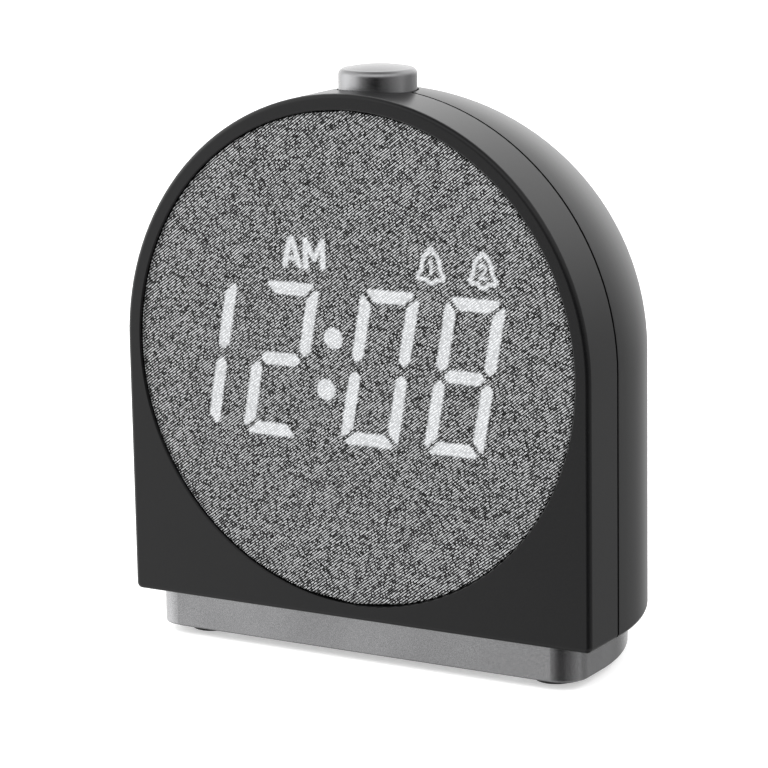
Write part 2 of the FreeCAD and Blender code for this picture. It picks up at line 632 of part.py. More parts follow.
def rear_shell():
    """Half-dome rear shell with the control field, sound slots, inlet, shelf and posts."""
    form = dome("rear_form", case_radius, case_floor, "dims.rear_land - dims.seam_gap",
                "dims.heel_fillet")
    hollow = dome("rear_hollow", inner_radius, inner_floor, "dims.rear_land + dims.overcut")
    rebate = new_body("rear_rebate")
    ring = new_sketch(rebate, "XZ_Plane", "rebate_outline", f"-({parting_y} - dims.overcut)")
    play = "(dims.lip_thick + dims.lip_gap)"
    draw_arch(ring, f"({inner_radius} + {play})", f"({inner_floor} - {play})")
    feature(rebate, "Pad", "rebate_block", ring, "1 + dims.lip_length + dims.lip_gap", True)
    shell = cut("rear_walls", form, [hollow, rebate])

    # what stands inside and grows out of the wall
    backing = wide_box("field_backing", case_radius, f"({field_y} - dims.wall)",
                       "dims.field_depth + dims.wall", f"({field_low} - dims.wall)",
                       "dims.field_height + 2 * dims.wall")
    inside = [backing]
    for level, z in (("low", f"({main_low} + dims.post_margin)"),
                     ("high", f"({main_high} - dims.post_margin)")):
        inside += pair(lambda name, x: rod(name, "y", (x, main_rear, z), "dims.post_radius",
                                           f"{rear_y} - {main_rear}"),
                       f"post_{level}", "dims.post_half_width")
    inside.append(wide_box("shelf_back", "dims.shelf_half_width", dome_y, case_radius, shelf_low,
                           "dims.shelf_thick"))
    web = "dims.shelf_thick"
    for side, x in (("right", f"dims.shelf_half_width - {web}"), ("left", "-dims.shelf_half_width")):
        inside.append(box(f"shelf_web_{side}", (x, f"({dome_y} + dims.shelf_half_width)", shelf_low),
                          (web, case_radius, f"{apex_z} - {shelf_low}")))
    grown = within("rear_inside", fuse("rear_inside_fused", inside), form)
    shelf = wide_box("shelf_front", "dims.shelf_half_width", f"({dome_y} - dims.shelf_front)",
                     "dims.shelf_front + dims.overcut", shelf_low, "dims.shelf_thick")
    boss_depth = "dims.wall + dims.fixing_boss_height"
    bosses = pair(lambda name, x: rod(name, "z", (x, rear_fixing_y, case_floor), boss_radius,
                                      boss_depth), "rear_boss", "dims.fixing_rear_side")
    for end, y in (("front", f"({power_front} + dims.post_margin)"),
                   ("rear", f"({power_rear} - dims.post_margin)")):
        bosses += pair(lambda name, x: rod(name, "z", (x, y, case_floor), "dims.post_radius",
                                           f"{power_low} - {case_floor}"),
                       f"power_post_{end}", "(dims.power_half_width - dims.post_margin)")
    whole = fuse("rear_fused", [shell, grown, shelf] + bosses)

    # what is cut out of it
    holes = [snooze_hole("rear_button_hole")]
    holes.append(wide_box("field_cut", case_radius, field_y, "dims.field_depth + dims.overcut", field_low,
                          "dims.field_height"))
    for name, x, z in key_places():
        holes.append(rod(f"{name}_hole", "y", (x, f"({field_y} - 2 * dims.wall)", z),
                         "dims.key_radius + dims.key_gap", "2 * dims.wall + dims.overcut"))
    for index, share in enumerate((0.6, 0.88, 1, 0.88, 0.6)):
        height = f"(dims.slot_height * {share})"
        x = f"(({index} - 2) * dims.slot_pitch - dims.slot_width / 2)"
        holes.append(box(f"sound_slot_{index}",
                         (x, f"({rear_y} - 3 * dims.wall)", f"({buzzer_z} - {height} / 2)"),
                         ("dims.slot_width", "3 * dims.wall + dims.overcut", height)))
    for name, grow, start in (("inlet_hole", "dims.inlet_gap", f"({inlet_mouth} - 2 * dims.wall)"),
                              ("inlet_flat", "dims.inlet_flat", inlet_mouth)):
        body = new_body(name)
        slot = new_sketch(body, "XZ_Plane", f"{name}_outline", f"-{start}")
        draw_slot(slot, f"(dims.inlet_half_width + {grow})", inlet_z,
                  f"(dims.inlet_height / 2 + {grow})")
        feature(body, "Pad", f"{name}_block", slot, "3 * dims.wall", True)
        holes.append(body)
    holes += pair(lambda name, x: rod(name, "z", (x, rear_fixing_y, f"{case_floor} - dims.overcut"),
                                      hole_radius, boss_depth),
                  "rear_boss_hole", "dims.fixing_rear_side")
    for level, z in (("low", f"({main_low} + dims.post_margin)"),
                     ("high", f"({main_high} - dims.post_margin)")):
        holes += pair(lambda name, x: rod(name, "y", (x, f"{main_rear} - dims.overcut", z), hole_radius,
                                          "1 + 5 * dims.screw_radius"),
                      f"post_hole_{level}", "dims.post_half_width")
    catch_y = f"({parting_y} + dims.hook_length - dims.hook_barb - dims.hook_air)"
    catch_x = f"({inner_radius} - dims.hook_air - dims.overcut)"
    catch_size = "(1 + dims.hook_catch + dims.hook_air)"
    for level, drop in (("low", "dims.hook_low"), ("high", "dims.hook_high")):
        z = f"({arch_z} - {drop} - dims.hook_width / 2 - dims.hook_air)"
        for side, x in (("right", catch_x), ("left", f"(-{catch_x} - {catch_size})")):
            holes.append(box(f"catch_{level}_{side}", (x, catch_y, z),
                             (catch_size, "dims.hook_barb + 2 * dims.hook_air",
                              "dims.hook_width + 2 * dims.hook_air")))
    return cut("rear_shell", whole, holes)


# ---------------------------------------------------------------- base
def plinth():
    """Metallic plinth, open below: posts for the base screws and a ring round the cell."""
    body = new_body("plinth_form")
    outline = new_sketch(body, "XY_Plane", "plinth_outline", plinth_low)
    draw_plan(outline, plinth_half, plinth_front, "dims.plinth_corner")
    solid = feature(body, "Pad", "plinth_block", outline, "dims.plinth_height")
    round_edges(body, "plinth_lower_edge", solid, "dims.plinth_edge",
                lambda edge: flat_at(edge, "z", number(plinth_low)))
    hollow = new_sketch(body, "XY_Plane", "plinth_hollow_outline", plinth_low)
    draw_cavity(hollow, "dims.plinth_wall")
    feature(body, "Pocket", "plinth_hollow", hollow, "dims.plinth_height - dims.plinth_roof", True)
    ring_low = f"({lug_top} + dims.ring_gap)"
    ring_height = f"{plinth_ceiling} - {ring_low}"
    ring = rod("cell_ring_outside", "z", ("0", cell_y, ring_low), f"{well_inner} + dims.well_wall",
               ring_height)
    bore = rod("cell_ring_bore", "z", ("0", cell_y, ring_low), well_inner, ring_height)
    posts = base_fixings("plinth_post", plate_top, boss_radius, f"{case_floor} - {plate_top}")
    holes = base_fixings("plinth_hole", f"({plate_top} - dims.overcut)", hole_radius,
                         "dims.plinth_height + dims.overcut")
    whole = fuse("plinth_fused", [body, cut("cell_ring", ring, [bore])] + posts)
    return cut("plinth", whole, holes)


def draw_cavity(sketch, wall):
    """The plinth's outline moved inwards by a wall."""
    draw_plan(sketch, f"({plinth_half} - {wall})", f"({plinth_front} + {wall})",
              f"(dims.plinth_corner - {wall})")


def base_fixings(name, low, radius, height):
    """One upright cylinder at each of the four base screws."""
    made = []
    for end, side, y in (("front", "dims.fixing_front_side", fixing_y),
                         ("rear", "dims.fixing_rear_side", rear_fixing_y)):
        made += pair(lambda label, x: rod(label, "z", (x, y, low), radius, height),
                     f"{name}_{end}", side)
    return made


def foot_places():
    """Centres of the four feet: two in the front corners, two round the back."""
    reach = f"({plinth_half} - dims.foot_inset)"
    front = f"({plinth_front} + dims.foot_inset)"
    for side in ("", "-"):
        yield f"{side}{reach}", front
        yield (f"{side}({reach} * cos(dims.foot_angle * 1 deg))",
               f"({dome_y} + {reach} * sin(dims.foot_angle * 1 deg))")


def lug_ring(name, inner, reach, width, low, thick):
    """The door's lugs, or their notches: one bar repeated round the upright axis."""
    body = new_body(name)
    outline = new_sketch(body, "XY_Plane", f"{name}_outline", low)
    corners = [(inner, f"(-{width} / 2)"), (reach, f"(-{width} / 2)"),
               (reach, f"({width} / 2)"), (inner, f"({width} / 2)")]
    draw_outline(outline, corners)
    bar = feature(body, "Pad", f"{name}_bar", outline, thick)
    pattern = body.newObject("PartDesign::PolarPattern", f"{name}_round")
    pattern.Originals = [bar]
    axis = next(item for item in body.Origin.OriginFeatures if item.Role == "Z_Axis")
    pattern.Axis = (axis, [""])
    pattern.Angle = 360
    pattern.setExpression("Occurrences", "dims.lug_count")
    body.Tip = pattern
    doc.recompute()
    return body


def base_plate():
    """Plate under the plinth: a spigot centres it; feet, screws and the door sit in it."""
    body = new_body("plate_form")
    lip = new_sketch(body, "XY_Plane", "plate_lip_outline", "dims.foot_proud")
    draw_plan(lip, plate_half, f"({plinth_front} + dims.plate_inset)",
              "(dims.plinth_corner - dims.plate_inset)")
    feature(body, "Pad", "plate_lip_block", lip, "dims.plate_lip")
    spigot = new_sketch(body, "XY_Plane", "spigot_outline", plinth_low)
    draw_cavity(spigot, "(dims.plinth_wall + dims.plate_gap)")
    feature(body, "Pad", "spigot_block", spigot, "dims.plate_spigot")
    height = f"{plate_top} - dims.foot_proud"
    holes = base_fixings("plate_hole", "0", hole_radius, f"{plate_top} + dims.overcut")
    holes += base_fixings("plate_head_hole", "0", "dims.screw_head_radius + 2 * dims.screw_play",
                          "dims.foot_proud + dims.door_recess + dims.plate_head")
    for index, (x, y) in enumerate(foot_places()):
        holes.append(rod(f"foot_seat_{index}", "z", (x, y, "0"), "dims.foot_radius + dims.foot_play",
                         "dims.foot_proud + dims.foot_seat"))
    holes.append(rod("door_opening", "z", ("0", cell_y, "0"), "dims.door_radius + dims.door_gap",
                     f"{plate_top} + dims.overcut"))
    notches = lug_ring("lug_notches", "(dims.door_radius - dims.overcut)",
                       "(dims.lug_radius + dims.door_gap)", "(dims.lug_width + 2 * dims.door_gap)",
                       "(dims.foot_proud - dims.overcut)", f"{height} + 2 * dims.overcut")
    notches.Placement = Placement(Vector(), Rotation(Vector(0, 0, 1), number("dims.door_turn")))
    holes.append(put(notches, y=cell_y))
    return cut("base_plate", body, holes)


def rubber_feet():
    """Four round feet set into the base plate."""
    feet = []
    for index, (x, y) in enumerate(foot_places()):
        foot = rod(f"foot_{index}", "z", (x, y, "0"), "dims.foot_radius",
                   "dims.foot_proud + dims.foot_seat")
        feet.append(foot)
    return group("rubber_feet", feet)


def battery_door():
    """Round door turned with a coin: hub under the cell, rim, three lugs and a slot below."""
    body = new_body("door_form")
    profile = new_sketch(body, "XZ_Plane", "door_profile")
    low = "(dims.foot_proud + dims.door_recess)"
    top, rim = f"({low} + dims.door_thick)", "(dims.door_radius - dims.rim_width)"
    hub = f"({cell_low} - dims.contact_air)"
    draw_outline(profile, [("0", low), ("dims.door_radius", low), ("dims.door_radius", lug_top),
                           (rim, lug_top), (rim, top), ("dims.hub_radius", top),
                           ("dims.hub_radius", hub), ("0", hub)])
    revolve(body, "door_turned", profile)
    lugs = lug_ring("door_lugs", "(dims.door_radius - dims.rim_width / 2)", "dims.lug_radius",
                    "dims.lug_width", lug_low, "dims.lug_thick")
    slot = wide_box("coin_slot_cut", "dims.slot_half", "(-dims.coin_slot / 2)", "dims.coin_slot",
                    "0", f"{low} + dims.slot_depth")
    return put(cut("battery_door", fuse("door_fused", [body, lugs]), [slot]), y=cell_y)


def coin_cell():
    """Flat cell: a wide can with the smaller cap crimped into its lower side."""
    body = new_body("coin_cell")
    profile = new_sketch(body, "XZ_Plane", "cell_profile")
    cap, step = "dims.cap_radius", f"({cell_low} + dims.contact_thick)"
    draw_outline(profile, [("0", cell_low), (cap, cell_low), (cap, step), ("dims.cell_radius", step),
                           ("dims.cell_radius", cell_top), ("0", cell_top)])
    revolve(body, "cell_turned", profile)
    return put(body, y=cell_y)


def cell_contacts():
    """Two contact springs: one over the cell, one beside it."""
    half = "(dims.contact_width / 2)"
    above = wide_box("contact_above", "dims.contact_half", f"({cell_y} - {half})",
                     "dims.contact_width", f"({cell_top} + dims.contact_air)",
                     "dims.contact_thick")
    beside = box("contact_beside", ("dims.cell_radius + dims.contact_air", f"({cell_y} - {half})",
                                    f"({cell_low} + dims.door_thick)"),
                 ("dims.contact_thick", "dims.contact_width", "dims.contact_high"))
    return group("cell_contacts", [above, beside])


# ---------------------------------------------------------------- round front and display
def front_disc():
    """Translucent disc bonded into the bezel, with bosses that carry the display block."""
    body = new_body("disc_form")
    circle = new_sketch(body, "XZ_Plane", "disc_outline", f"-{disc_y}")
    draw_circle(circle, ("0", arch_z), disc_radius)
    feature(body, "Pad", "disc_plate", circle, "dims.disc_thick", True)
    bosses = ear_rods("disc_boss", disc_back, boss_radius, f"{ear_y} - {disc_back}")
    holes = ear_rods("disc_hole", f"({disc_back} + dims.disc_skin)", hole_radius, "dims.frame_thick")
    return cut("front_disc", fuse("disc_fused", [body] + bosses), holes)


def ear_rods(name, y, radius, length):
    """One cylinder along Y at each of the four display ears."""
    made = []
    for level, z in (("high", ear_high), ("low", ear_low)):
        made += pair(lambda label, x: rod(label, "y", (x, y, z), radius, length),
                     f"{name}_{level}", "dims.ear_offset")
    return made


def fabric_cover():
    """Woven cover: a thin disc turned back round the edge of the carrier."""
    body = new_body("fabric_cover")
    circle = new_sketch(body, "XZ_Plane", "cover_outline", f"-{cover_y}")
    draw_circle(circle, ("0", arch_z), cover_radius)
    feature(body, "Pad", "cover_block", circle, "dims.fabric_thick + dims.fabric_wrap", True)
    inside = new_sketch(body, "XZ_Plane", "cover_inside", f"-({cover_y} + dims.fabric_thick)")
    draw_circle(inside, ("0", arch_z), f"({cover_radius} - dims.fabric_thick)")
    feature(body, "Pocket", "cover_hollow", inside, "dims.fabric_wrap + dims.overcut")
    return body


def digit_outlines():
    """Every segment of the four digits as corner points round the arch centre (x, z)."""
    half_w, half_h = number("dims.digit_width") / 2, number("dims.digit_height") / 2
    stroke, gap = number("dims.stroke"), number("dims.segment_gap")
    lean = math.tan(math.radians(number("dims.digit_slant")))
    bar = [(-half_w + gap, half_h), (half_w - gap, half_h),
           (half_w - gap - stroke, half_h - stroke), (-half_w + gap + stroke, half_h - stroke)]
    upright = [(half_w, half_h - gap), (half_w, gap + stroke / 2), (half_w - stroke / 2, gap),
               (half_w - stroke, gap + stroke / 2), (half_w - stroke, half_h - gap - stroke)]
    middle = [(half_w - gap - stroke / 2, 0), (half_w - gap - stroke, stroke / 2),
              (-half_w + gap + stroke, stroke / 2), (-half_w + gap + stroke / 2, 0),
              (-half_w + gap + stroke, -stroke / 2), (half_w - gap - stroke, -stroke / 2)]

    def turned(outline, flip_x, flip_z):
        return [(x * flip_x, z * flip_z) for x, z in outline]

    shapes = [bar, upright, turned(upright, 1, -1), turned(bar, 1, -1), turned(upright, -1, -1),
              turned(upright, -1, 1), middle]
    pitch, spacing = number("dims.digit_pitch"), number("dims.pair_spacing")
    centre, drop = number("dims.digit_middle"), number("dims.digit_drop")
    inner = spacing / 2
    outlines = []
    for digit, x in enumerate((-inner - pitch, -inner, inner, inner + pitch)):
        for index, shape in enumerate(shapes):
            if digit == 0 and index not in (1, 2):
                continue
            outlines.append([(centre + x + px + pz * lean, pz - drop) for px, pz in shape])
    return outlines


def colon_places():
    """Centres of the colon's two dots."""
    lean = math.tan(math.radians(number("dims.digit_slant")))
    centre, drop = number("dims.digit_middle"), number("dims.digit_drop")
    for sign in (1, -1):
        rise = sign * number("dims.colon_spread")
        yield centre + rise * lean, rise - drop


def sign_places():
    """Half-day and alarm indicators: middle to the side of the centre, and width."""
    half_day, bell = number("dims.half_day_width"), number("dims.bell_width")
    return [(-number("dims.half_day_outer"), half_day), (-number("dims.half_day_inner"), half_day),
            (number("dims.bell_inner"), bell), (number("dims.bell_outer"), bell)]


def guide_shape(grow, start, depth):
    """All light guides as prisms, each grown by a clearance."""
    y, middle = number(start), number(arch_z)
    solids = []
    for outline in digit_outlines():
        points = [Vector(x, y, middle + z) for x, z in outline]
        wire = Part.makePolygon(points + points[:1])
        if grow:
            wire = wire.makeOffset2D(grow, 2)
        solids.append(Part.Face(wire).extrude(Vector(0, depth, 0)))
    radius = number("dims.colon_radius") + grow
    for x, z in colon_places():
        solids.append(Part.makeCylinder(radius, depth, Vector(x, y, middle + z), Vector(0, 1, 0)))
    return solids


def sign_shape(grow, start, depth):
    """The four indicator windows as blocks, each grown by a clearance."""
    y, middle = number(start), number(arch_z) + number("dims.sign_rise")
    high = number("dims.sign_height") + 2 * grow
    return [Part.makeBox(width + 2 * grow, depth, high,
                         Vector(x - width / 2 - grow, y, middle - high / 2))
            for x, width in sign_places()]


def digit_segments():
    """Light guides of the digits and the colon, each a solid of its own."""
    depth = number("dims.segment_depth")
    return plain("digit_segments", Part.makeCompound(guide_shape(0, frame_y, depth)))


def indicator_guides():
    """Light guides behind the half-day and alarm signs."""
    depth = number("dims.segment_depth")
    return plain("indicator_guides", Part.makeCompound(sign_shape(0, frame_y, depth)))


def ear_plates(name, y, thick):
    """Four ears with round ends that reach above and below the display block."""
    made = ear_rods(f"{name}_end", y, "dims.ear_radius", thick)
    reach = "(dims.ear_reach + dims.ear_radius)"
    for level, z in (("high", f"({ear_high} - {reach})"), ("low", ear_low)):
        made += pair(lambda label, x: box(label, (f"({x} - dims.ear_radius)", y, z),
                                          ("2 * dims.ear_radius", thick, reach)),
                     f"{name}_neck_{level}", "dims.ear_offset")
    return made


def display_block(name, y, depth):
    """The display's plain outline as a block."""
    return wide_box(name, frame_half, y, depth, f"({arch_z} - dims.frame_below)",
                    "dims.frame_below + dims.frame_above")


def display_frame():
    """Black block with a light chamber for every segment and sign."""
    play = number("dims.window_gap")
    deep = number("dims.frame_thick + 2 * dims.overcut")
    start = f"({frame_y} - dims.overcut)"
    chambers = plain("light_chambers", Part.makeCompound(
        guide_shape(play, start, deep) + sign_shape(play, start, deep)))
    whole = fuse("frame_fused", [display_block("frame_block", frame_y, "dims.frame_thick")]
                 + ear_plates("frame_ear", ear_y, "dims.ear_thick"))
    holes = ear_rods("frame_hole", f"({ear_y} - dims.overcut)", hole_radius,
                     "dims.ear_thick + 2 * dims.overcut")
    return cut("display_frame", cut("frame_cut", whole, [chambers]), holes)


def display_board():
    """Circuit board behind the display block, with the same ears."""
    whole = fuse("board_fused", [display_block("board_block", frame_back, "dims.board_thick")]
                 + ear_plates("board_ear", frame_back, "dims.board_thick"))
    holes = ear_rods("board_hole", f"({frame_back} - dims.overcut)", hole_radius,
                     "dims.board_thick + 2 * dims.overcut")
    return cut("display_board", whole, holes)


def display_leds():
    """One light-emitting diode behind every segment, dot and sign."""
    size, height = number("dims.led_size"), number("dims.led_height")
    y, middle = number(frame_back) - height, number(arch_z)
    places = []
    for outline in digit_outlines():
        places.append((sum(x for x, _ in outline) / len(outline),
                       sum(z for _, z in outline) / len(outline)))
    places += list(colon_places())
    places += [(x, number("dims.sign_rise")) for x, _ in sign_places()]
    chips = [Part.makeBox(size, height, size / 2, Vector(x - size / 2, y, middle + z - size / 4))
             for x, z in places]
    return plain("display_leds", Part.makeCompound(chips))


def screw(place, direction, length):
    """A pan-head screw whose head's bearing face lies at place; the shank goes along direction."""
    radius, height = number("dims.screw_head_radius"), number("dims.screw_head_height")
    head = Part.makeCylinder(radius, height, place - direction * height, direction)
    edge = [item for item in head.Edges
            if abs((item.CenterOfMass - place).dot(direction) + height) < 1e-6]
    head = head.makeChamfer(height / 3, edge)
    shank = Part.makeCylinder(number("dims.screw_radius"), length, place, direction)
    return head.fuse(shank)


def screws():
    """Screws of the base, of the display and of the main board, each kind one group."""
    up, forward, back = Vector(0, 0, 1), Vector(0, -1, 0), Vector(0, 1, 0)
    bearing = number("dims.foot_proud + dims.door_recess + dims.plate_head")
    top = number(f"{fixing_top} - 2 * dims.screw_radius")
    below = [screw(Vector(sign * number(side), number(y), bearing), up, top - bearing)
             for side, y in (("dims.fixing_front_side", fixing_y),
                             ("dims.fixing_rear_side", rear_fixing_y)) for sign in (1, -1)]
    plain("base_screws", Part.makeCompound(below))
    ears = [screw(Vector(sign * number("dims.ear_offset"), number(display_back), number(z)), forward,
                  number(f"{display_back} - {ear_y} + 3 * dims.screw_radius"))
            for z in (ear_high, ear_low) for sign in (1, -1)]
    plain("display_screws", Part.makeCompound(ears))
    posts = [screw(Vector(sign * number("dims.post_half_width"), number(main_front), number(z)), back,
                   number("dims.board_thick + 4 * dims.screw_radius"))
             for z in (f"({main_low} + dims.post_margin)", f"({main_high} - dims.post_margin)")
             for sign in (1, -1)]
    plain("board_screws", Part.makeCompound(posts))


# ---------------------------------------------------------------- boards and switches
def main_board():
    """Upright board behind the control field, screwed to four posts."""
    board = wide_box("main_block", "dims.main_half_width", main_front, "dims.board_thick", main_low,
                     "dims.main_height")
    holes = []
    for level, z in (("low", f"({main_low} + dims.post_margin)"),
                     ("high", f"({main_high} - dims.post_margin)")):
        holes += pair(lambda name, x: rod(name, "y", (x, f"({main_front} - dims.overcut)", z), hole_radius,
                                          "dims.board_thick + 2 * dims.overcut"),
                      f"main_hole_{level}", "dims.post_half_width")
    return cut("main_board", board, holes)


def switch_body(centre, direction):
    """A push switch whose open end is at centre; direction points out of it."""
    size, height = number("dims.switch_size"), number("dims.switch_height")
    turn = Rotation(Vector(0, 0, 1), direction)
    block = Part.makeBox(size, size, height, Vector(-size / 2, -size / 2, -height))
    well = Part.makeCylinder(number("dims.well_radius"), number("dims.well_depth + dims.overcut"),
                             Vector(0, 0, -number("dims.well_depth")))
    shape = block.cut(well)
    shape.Placement = Placement(centre, turn)
    return shape


def push_switches():
    """The six switches behind the set buttons, and the one under the snooze button."""
    six = [switch_body(Vector(number(x), number(switch_y), number(z)), Vector(0, 1, 0))
           for _, x, z in key_places()]
    plain("set_switches", Part.makeCompound(six))
    under_button = Vector(0, number(dome_y), number(snooze_switch_top))
    plain("snooze_switch", Part.makeCompound([switch_body(under_button, Vector(0, 0, 1))]))


def small_parts():
    """Chip, sounder, boards, power socket and the inner leads."""
    wide_box("control_chip", "(dims.chip_size / 2)", f"({main_front} - dims.board_thick)",
             "dims.board_thick", f"({main_low} + 2 * dims.chip_size)", "dims.chip_size")
    can = rod("buzzer_can", "y", ("0", main_rear, buzzer_z), "dims.buzzer_radius",
              "dims.buzzer_height")
    port = rod("buzzer_port", "y", ("0", f"({main_rear} + dims.buzzer_height - dims.port_depth)",
                                buzzer_z), "dims.well_radius", "dims.port_depth + dims.overcut")
    cut("buzzer", can, [port])
    wide_box("power_board", "dims.power_half_width", power_front, "dims.power_length", power_low,
             "dims.board_thick")
    wide_box("snooze_board", "(dims.shelf_half_width - dims.board_play)",
             f"({dome_y} - dims.shelf_front)", "2 * dims.shelf_front", shelf_top,
             "dims.board_thick")
    wide_box("power_lead", "(dims.ribbon_width / 2)", f"({main_front} + dims.board_thick / 4)",
             "dims.ribbon_thick", power_top, f"{main_low} - {power_top}")


def power_socket():
    """Sheet-metal shell of the power socket, open to the back, and its contact tongue."""
    body = new_body("power_socket")
    outer = new_sketch(body, "XZ_Plane", "socket_outline", f"-{inlet_front}")
    draw_slot(outer, "dims.inlet_half_width", inlet_z, "(dims.inlet_height / 2)")
    feature(body, "Pad", "socket_block", outer, "dims.inlet_length", True)
    inner = new_sketch(body, "XZ_Plane", "socket_mouth", f"-{inlet_mouth}")
    draw_slot(inner, "(dims.inlet_half_width - dims.inlet_wall)", inlet_z,
              "(dims.inlet_height / 2 - dims.inlet_wall)")
    feature(body, "Pocket", "socket_hollow", inner, "dims.inlet_length - dims.socket_back", True)
    wide_box("socket_tongue", "dims.tongue_half_width", f"({inlet_front} + dims.socket_back)",
             "dims.inlet_length - dims.socket_back - dims.tongue_setback",
             f"({inlet_z} - dims.tongue_thick / 2)", "dims.tongue_thick")


def ribbon_cable():
    """Flat cable folded from the back of the display board to the front of the main board."""
    start_y, end_y = number(display_back), number(main_front)
    low, high = number(f"{main_low} + dims.buzzer_rise"), number(f"{arch_z} - dims.frame_below / 2")
    bend = number("dims.ribbon_bend")
    thick, width = number("dims.ribbon_thick"), number("dims.ribbon_width")
    middle = (start_y + end_y) / 2
    cut_in = bend * math.sin(math.pi / 4)
    edges = [
        Part.LineSegment(Vector(0, start_y, high), Vector(0, middle - bend, high)),
        Part.Arc(Vector(0, middle - bend, high),
                 Vector(0, middle - bend + cut_in, high - bend + cut_in),
                 Vector(0, middle, high - bend)),
        Part.LineSegment(Vector(0, middle, high - bend), Vector(0, middle, low + bend)),
        Part.Arc(Vector(0, middle, low + bend),
                 Vector(0, middle + bend - cut_in, low + bend - cut_in),
                 Vector(0, middle + bend, low)),
        Part.LineSegment(Vector(0, middle + bend, low), Vector(0, end_y, low)),
    ]
    path = Part.Wire([edge.toShape() for edge in edges])
    section = Part.makePolygon([
        Vector(-width / 2, start_y, high - thick / 2), Vector(width / 2, start_y, high - thick / 2),
        Vector(width / 2, start_y, high + thick / 2), Vector(-width / 2, start_y, high + thick / 2),
        Vector(-width / 2, start_y, high - thick / 2)])
    return plain("ribbon_cable", path.makePipeShell([section], True, False))


# ---------------------------------------------------------------- buttons
def snooze_button():
    """Cup-shaped button with a flange under the shells and a stem down to its switch."""
    body = new_body("snooze_button")
    profile = new_sketch(body, "XZ_Plane", "snooze_profile")
    side, edge = "dims.snooze_radius", "dims.snooze_edge"
    bore = "(dims.snooze_radius - dims.snooze_wall)"
    tip = f"({snooze_switch_top} - dims.stem_entry)"
    top_radius = f"({side} - {edge})"
    crown_radius = f"(({top_radius} ^ 2 + dims.snooze_crown ^ 2) / (2 * dims.snooze_crown))"
    corners = [("0", tip), ("dims.stem_radius", tip), ("dims.stem_radius", snooze_roof),
               (bore, snooze_roof), (bore, flange_low), (flange_radius, flange_low),
               (flange_radius, flange_top), (side, flange_top), (side, f"({snooze_rim} - {edge})"),
               (top_radius, snooze_rim), ("0", snooze_top)]
    draw_outline(profile, corners, {8: (edge, -1), 9: (crown_radius, -1)})
    revolve(body, "snooze_turned", profile)
    return put(body, y=dome_y)


def snooze_spring():
    """Coil spring between the snooze board and the roof of the button."""
    helix = doc.addObject("Part::Helix", "spring_path")
    low = f"({snooze_board_top} + dims.spring_wire / 2 + dims.spring_air)"
    height = f"({snooze_roof} - {snooze_board_top} - dims.spring_wire - 2 * dims.spring_air)"
    helix.setExpression("Height", height)
    helix.setExpression("Pitch", f"{height} / dims.spring_turns")
    helix.setExpression("Radius", "dims.spring_radius")
    put(helix, "0", dome_y, low)
    section = doc.addObject("Part::Circle", "spring_section")
    section.Placement = Placement(Vector(), Rotation(Vector(1, 0, 0), 90))
    section.setExpression("Radius", "dims.spring_wire / 2")
    put(section, "dims.spring_radius", dome_y, low)
    spring = doc.addObject("Part::Sweep", "snooze_spring")
    spring.Sections = [section]
    spring.Spine = (helix, ["Edge1"])
    spring.Solid = True
    spring.Frenet = True
    return spring


def set_button(name, x, z):
    """Round set button: cap, flange behind the field and a stem into its switch."""
    body = new_body(name)
    profile = new_sketch(body, "XY_Plane", f"{name}_profile")
    cap_top, edge = f"({field_y} + dims.key_proud)", "dims.key_edge"
    flange, back = "(dims.key_radius + dims.key_flange)", f"({key_flange_y} + dims.key_flange_thick)"
    tip = f"({switch_y} - dims.stem_entry)"
    corners = [("0", tip), ("dims.stem_radius", tip), ("dims.stem_radius", key_flange_y),
               (flange, key_flange_y), (flange, back), ("dims.key_radius", back),
               ("dims.key_radius", f"({cap_top} - {edge})"),
               (f"(dims.key_radius - {edge})", cap_top), ("0", cap_top)]
    draw_outline(profile, corners, {6: (edge, -1)})
    revolve(body, f"{name}_turned", profile)
    return put(body, x=x, z=z)


# ---------------------------------------------------------------- the whole clock
front_bezel()
rear_shell()
plinth()
base_plate()
rubber_feet()
battery_door()
coin_cell()
cell_contacts()
front_disc()
fabric_cover()
digit_segments()
indicator_guides()
display_frame()
display_board()
display_leds()
screws()
main_board()
push_switches()
small_parts()
power_socket()
ribbon_cable()
snooze_button()
snooze_spring()
for button_name, button_x, button_z in key_places():
    set_button(button_name, button_x, button_z)
doc.recompute()

nodes = ["front_bezel", "rear_shell", "plinth", "base_plate", "rubber_feet", "battery_door",
         "coin_cell", "cell_contacts", "front_disc", "fabric_cover", "digit_segments",
         "indicator_guides", "display_frame", "display_board", "display_leds", "base_screws",
         "display_screws", "board_screws", "main_board", "set_switches", "snooze_switch",
         "control_chip", "buzzer", "power_board", "snooze_board", "power_lead", "power_socket",
         "socket_tongue", "ribbon_cable", "snooze_button", "snooze_spring"]
nodes += [button_name for button_name, _, _ in key_places()]

for item in doc.Objects:
    if "Invalid" in item.State or "Error" in item.State:
        raise ValueError(f"{item.Name} failed: {item.State}")
for node in nodes:
    shape = doc.getObject(node).Shape
    if shape.isNull() or not shape.isValid() or not shape.Solids:
        raise ValueError(f"{node} is not a valid solid")
os.makedirs("parts", exist_ok=True)
for node in nodes:
    item = doc.getObject(node)
    item.Label = node
    item.Shape.exportStep(f"parts/{node}.step")
    print(f"{node}: {len(item.Shape.Solids)} solids, {item.Shape.Volume:.1f} mm3")
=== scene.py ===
import bpy
import math
import numpy as np
from mathutils import Matrix, Vector


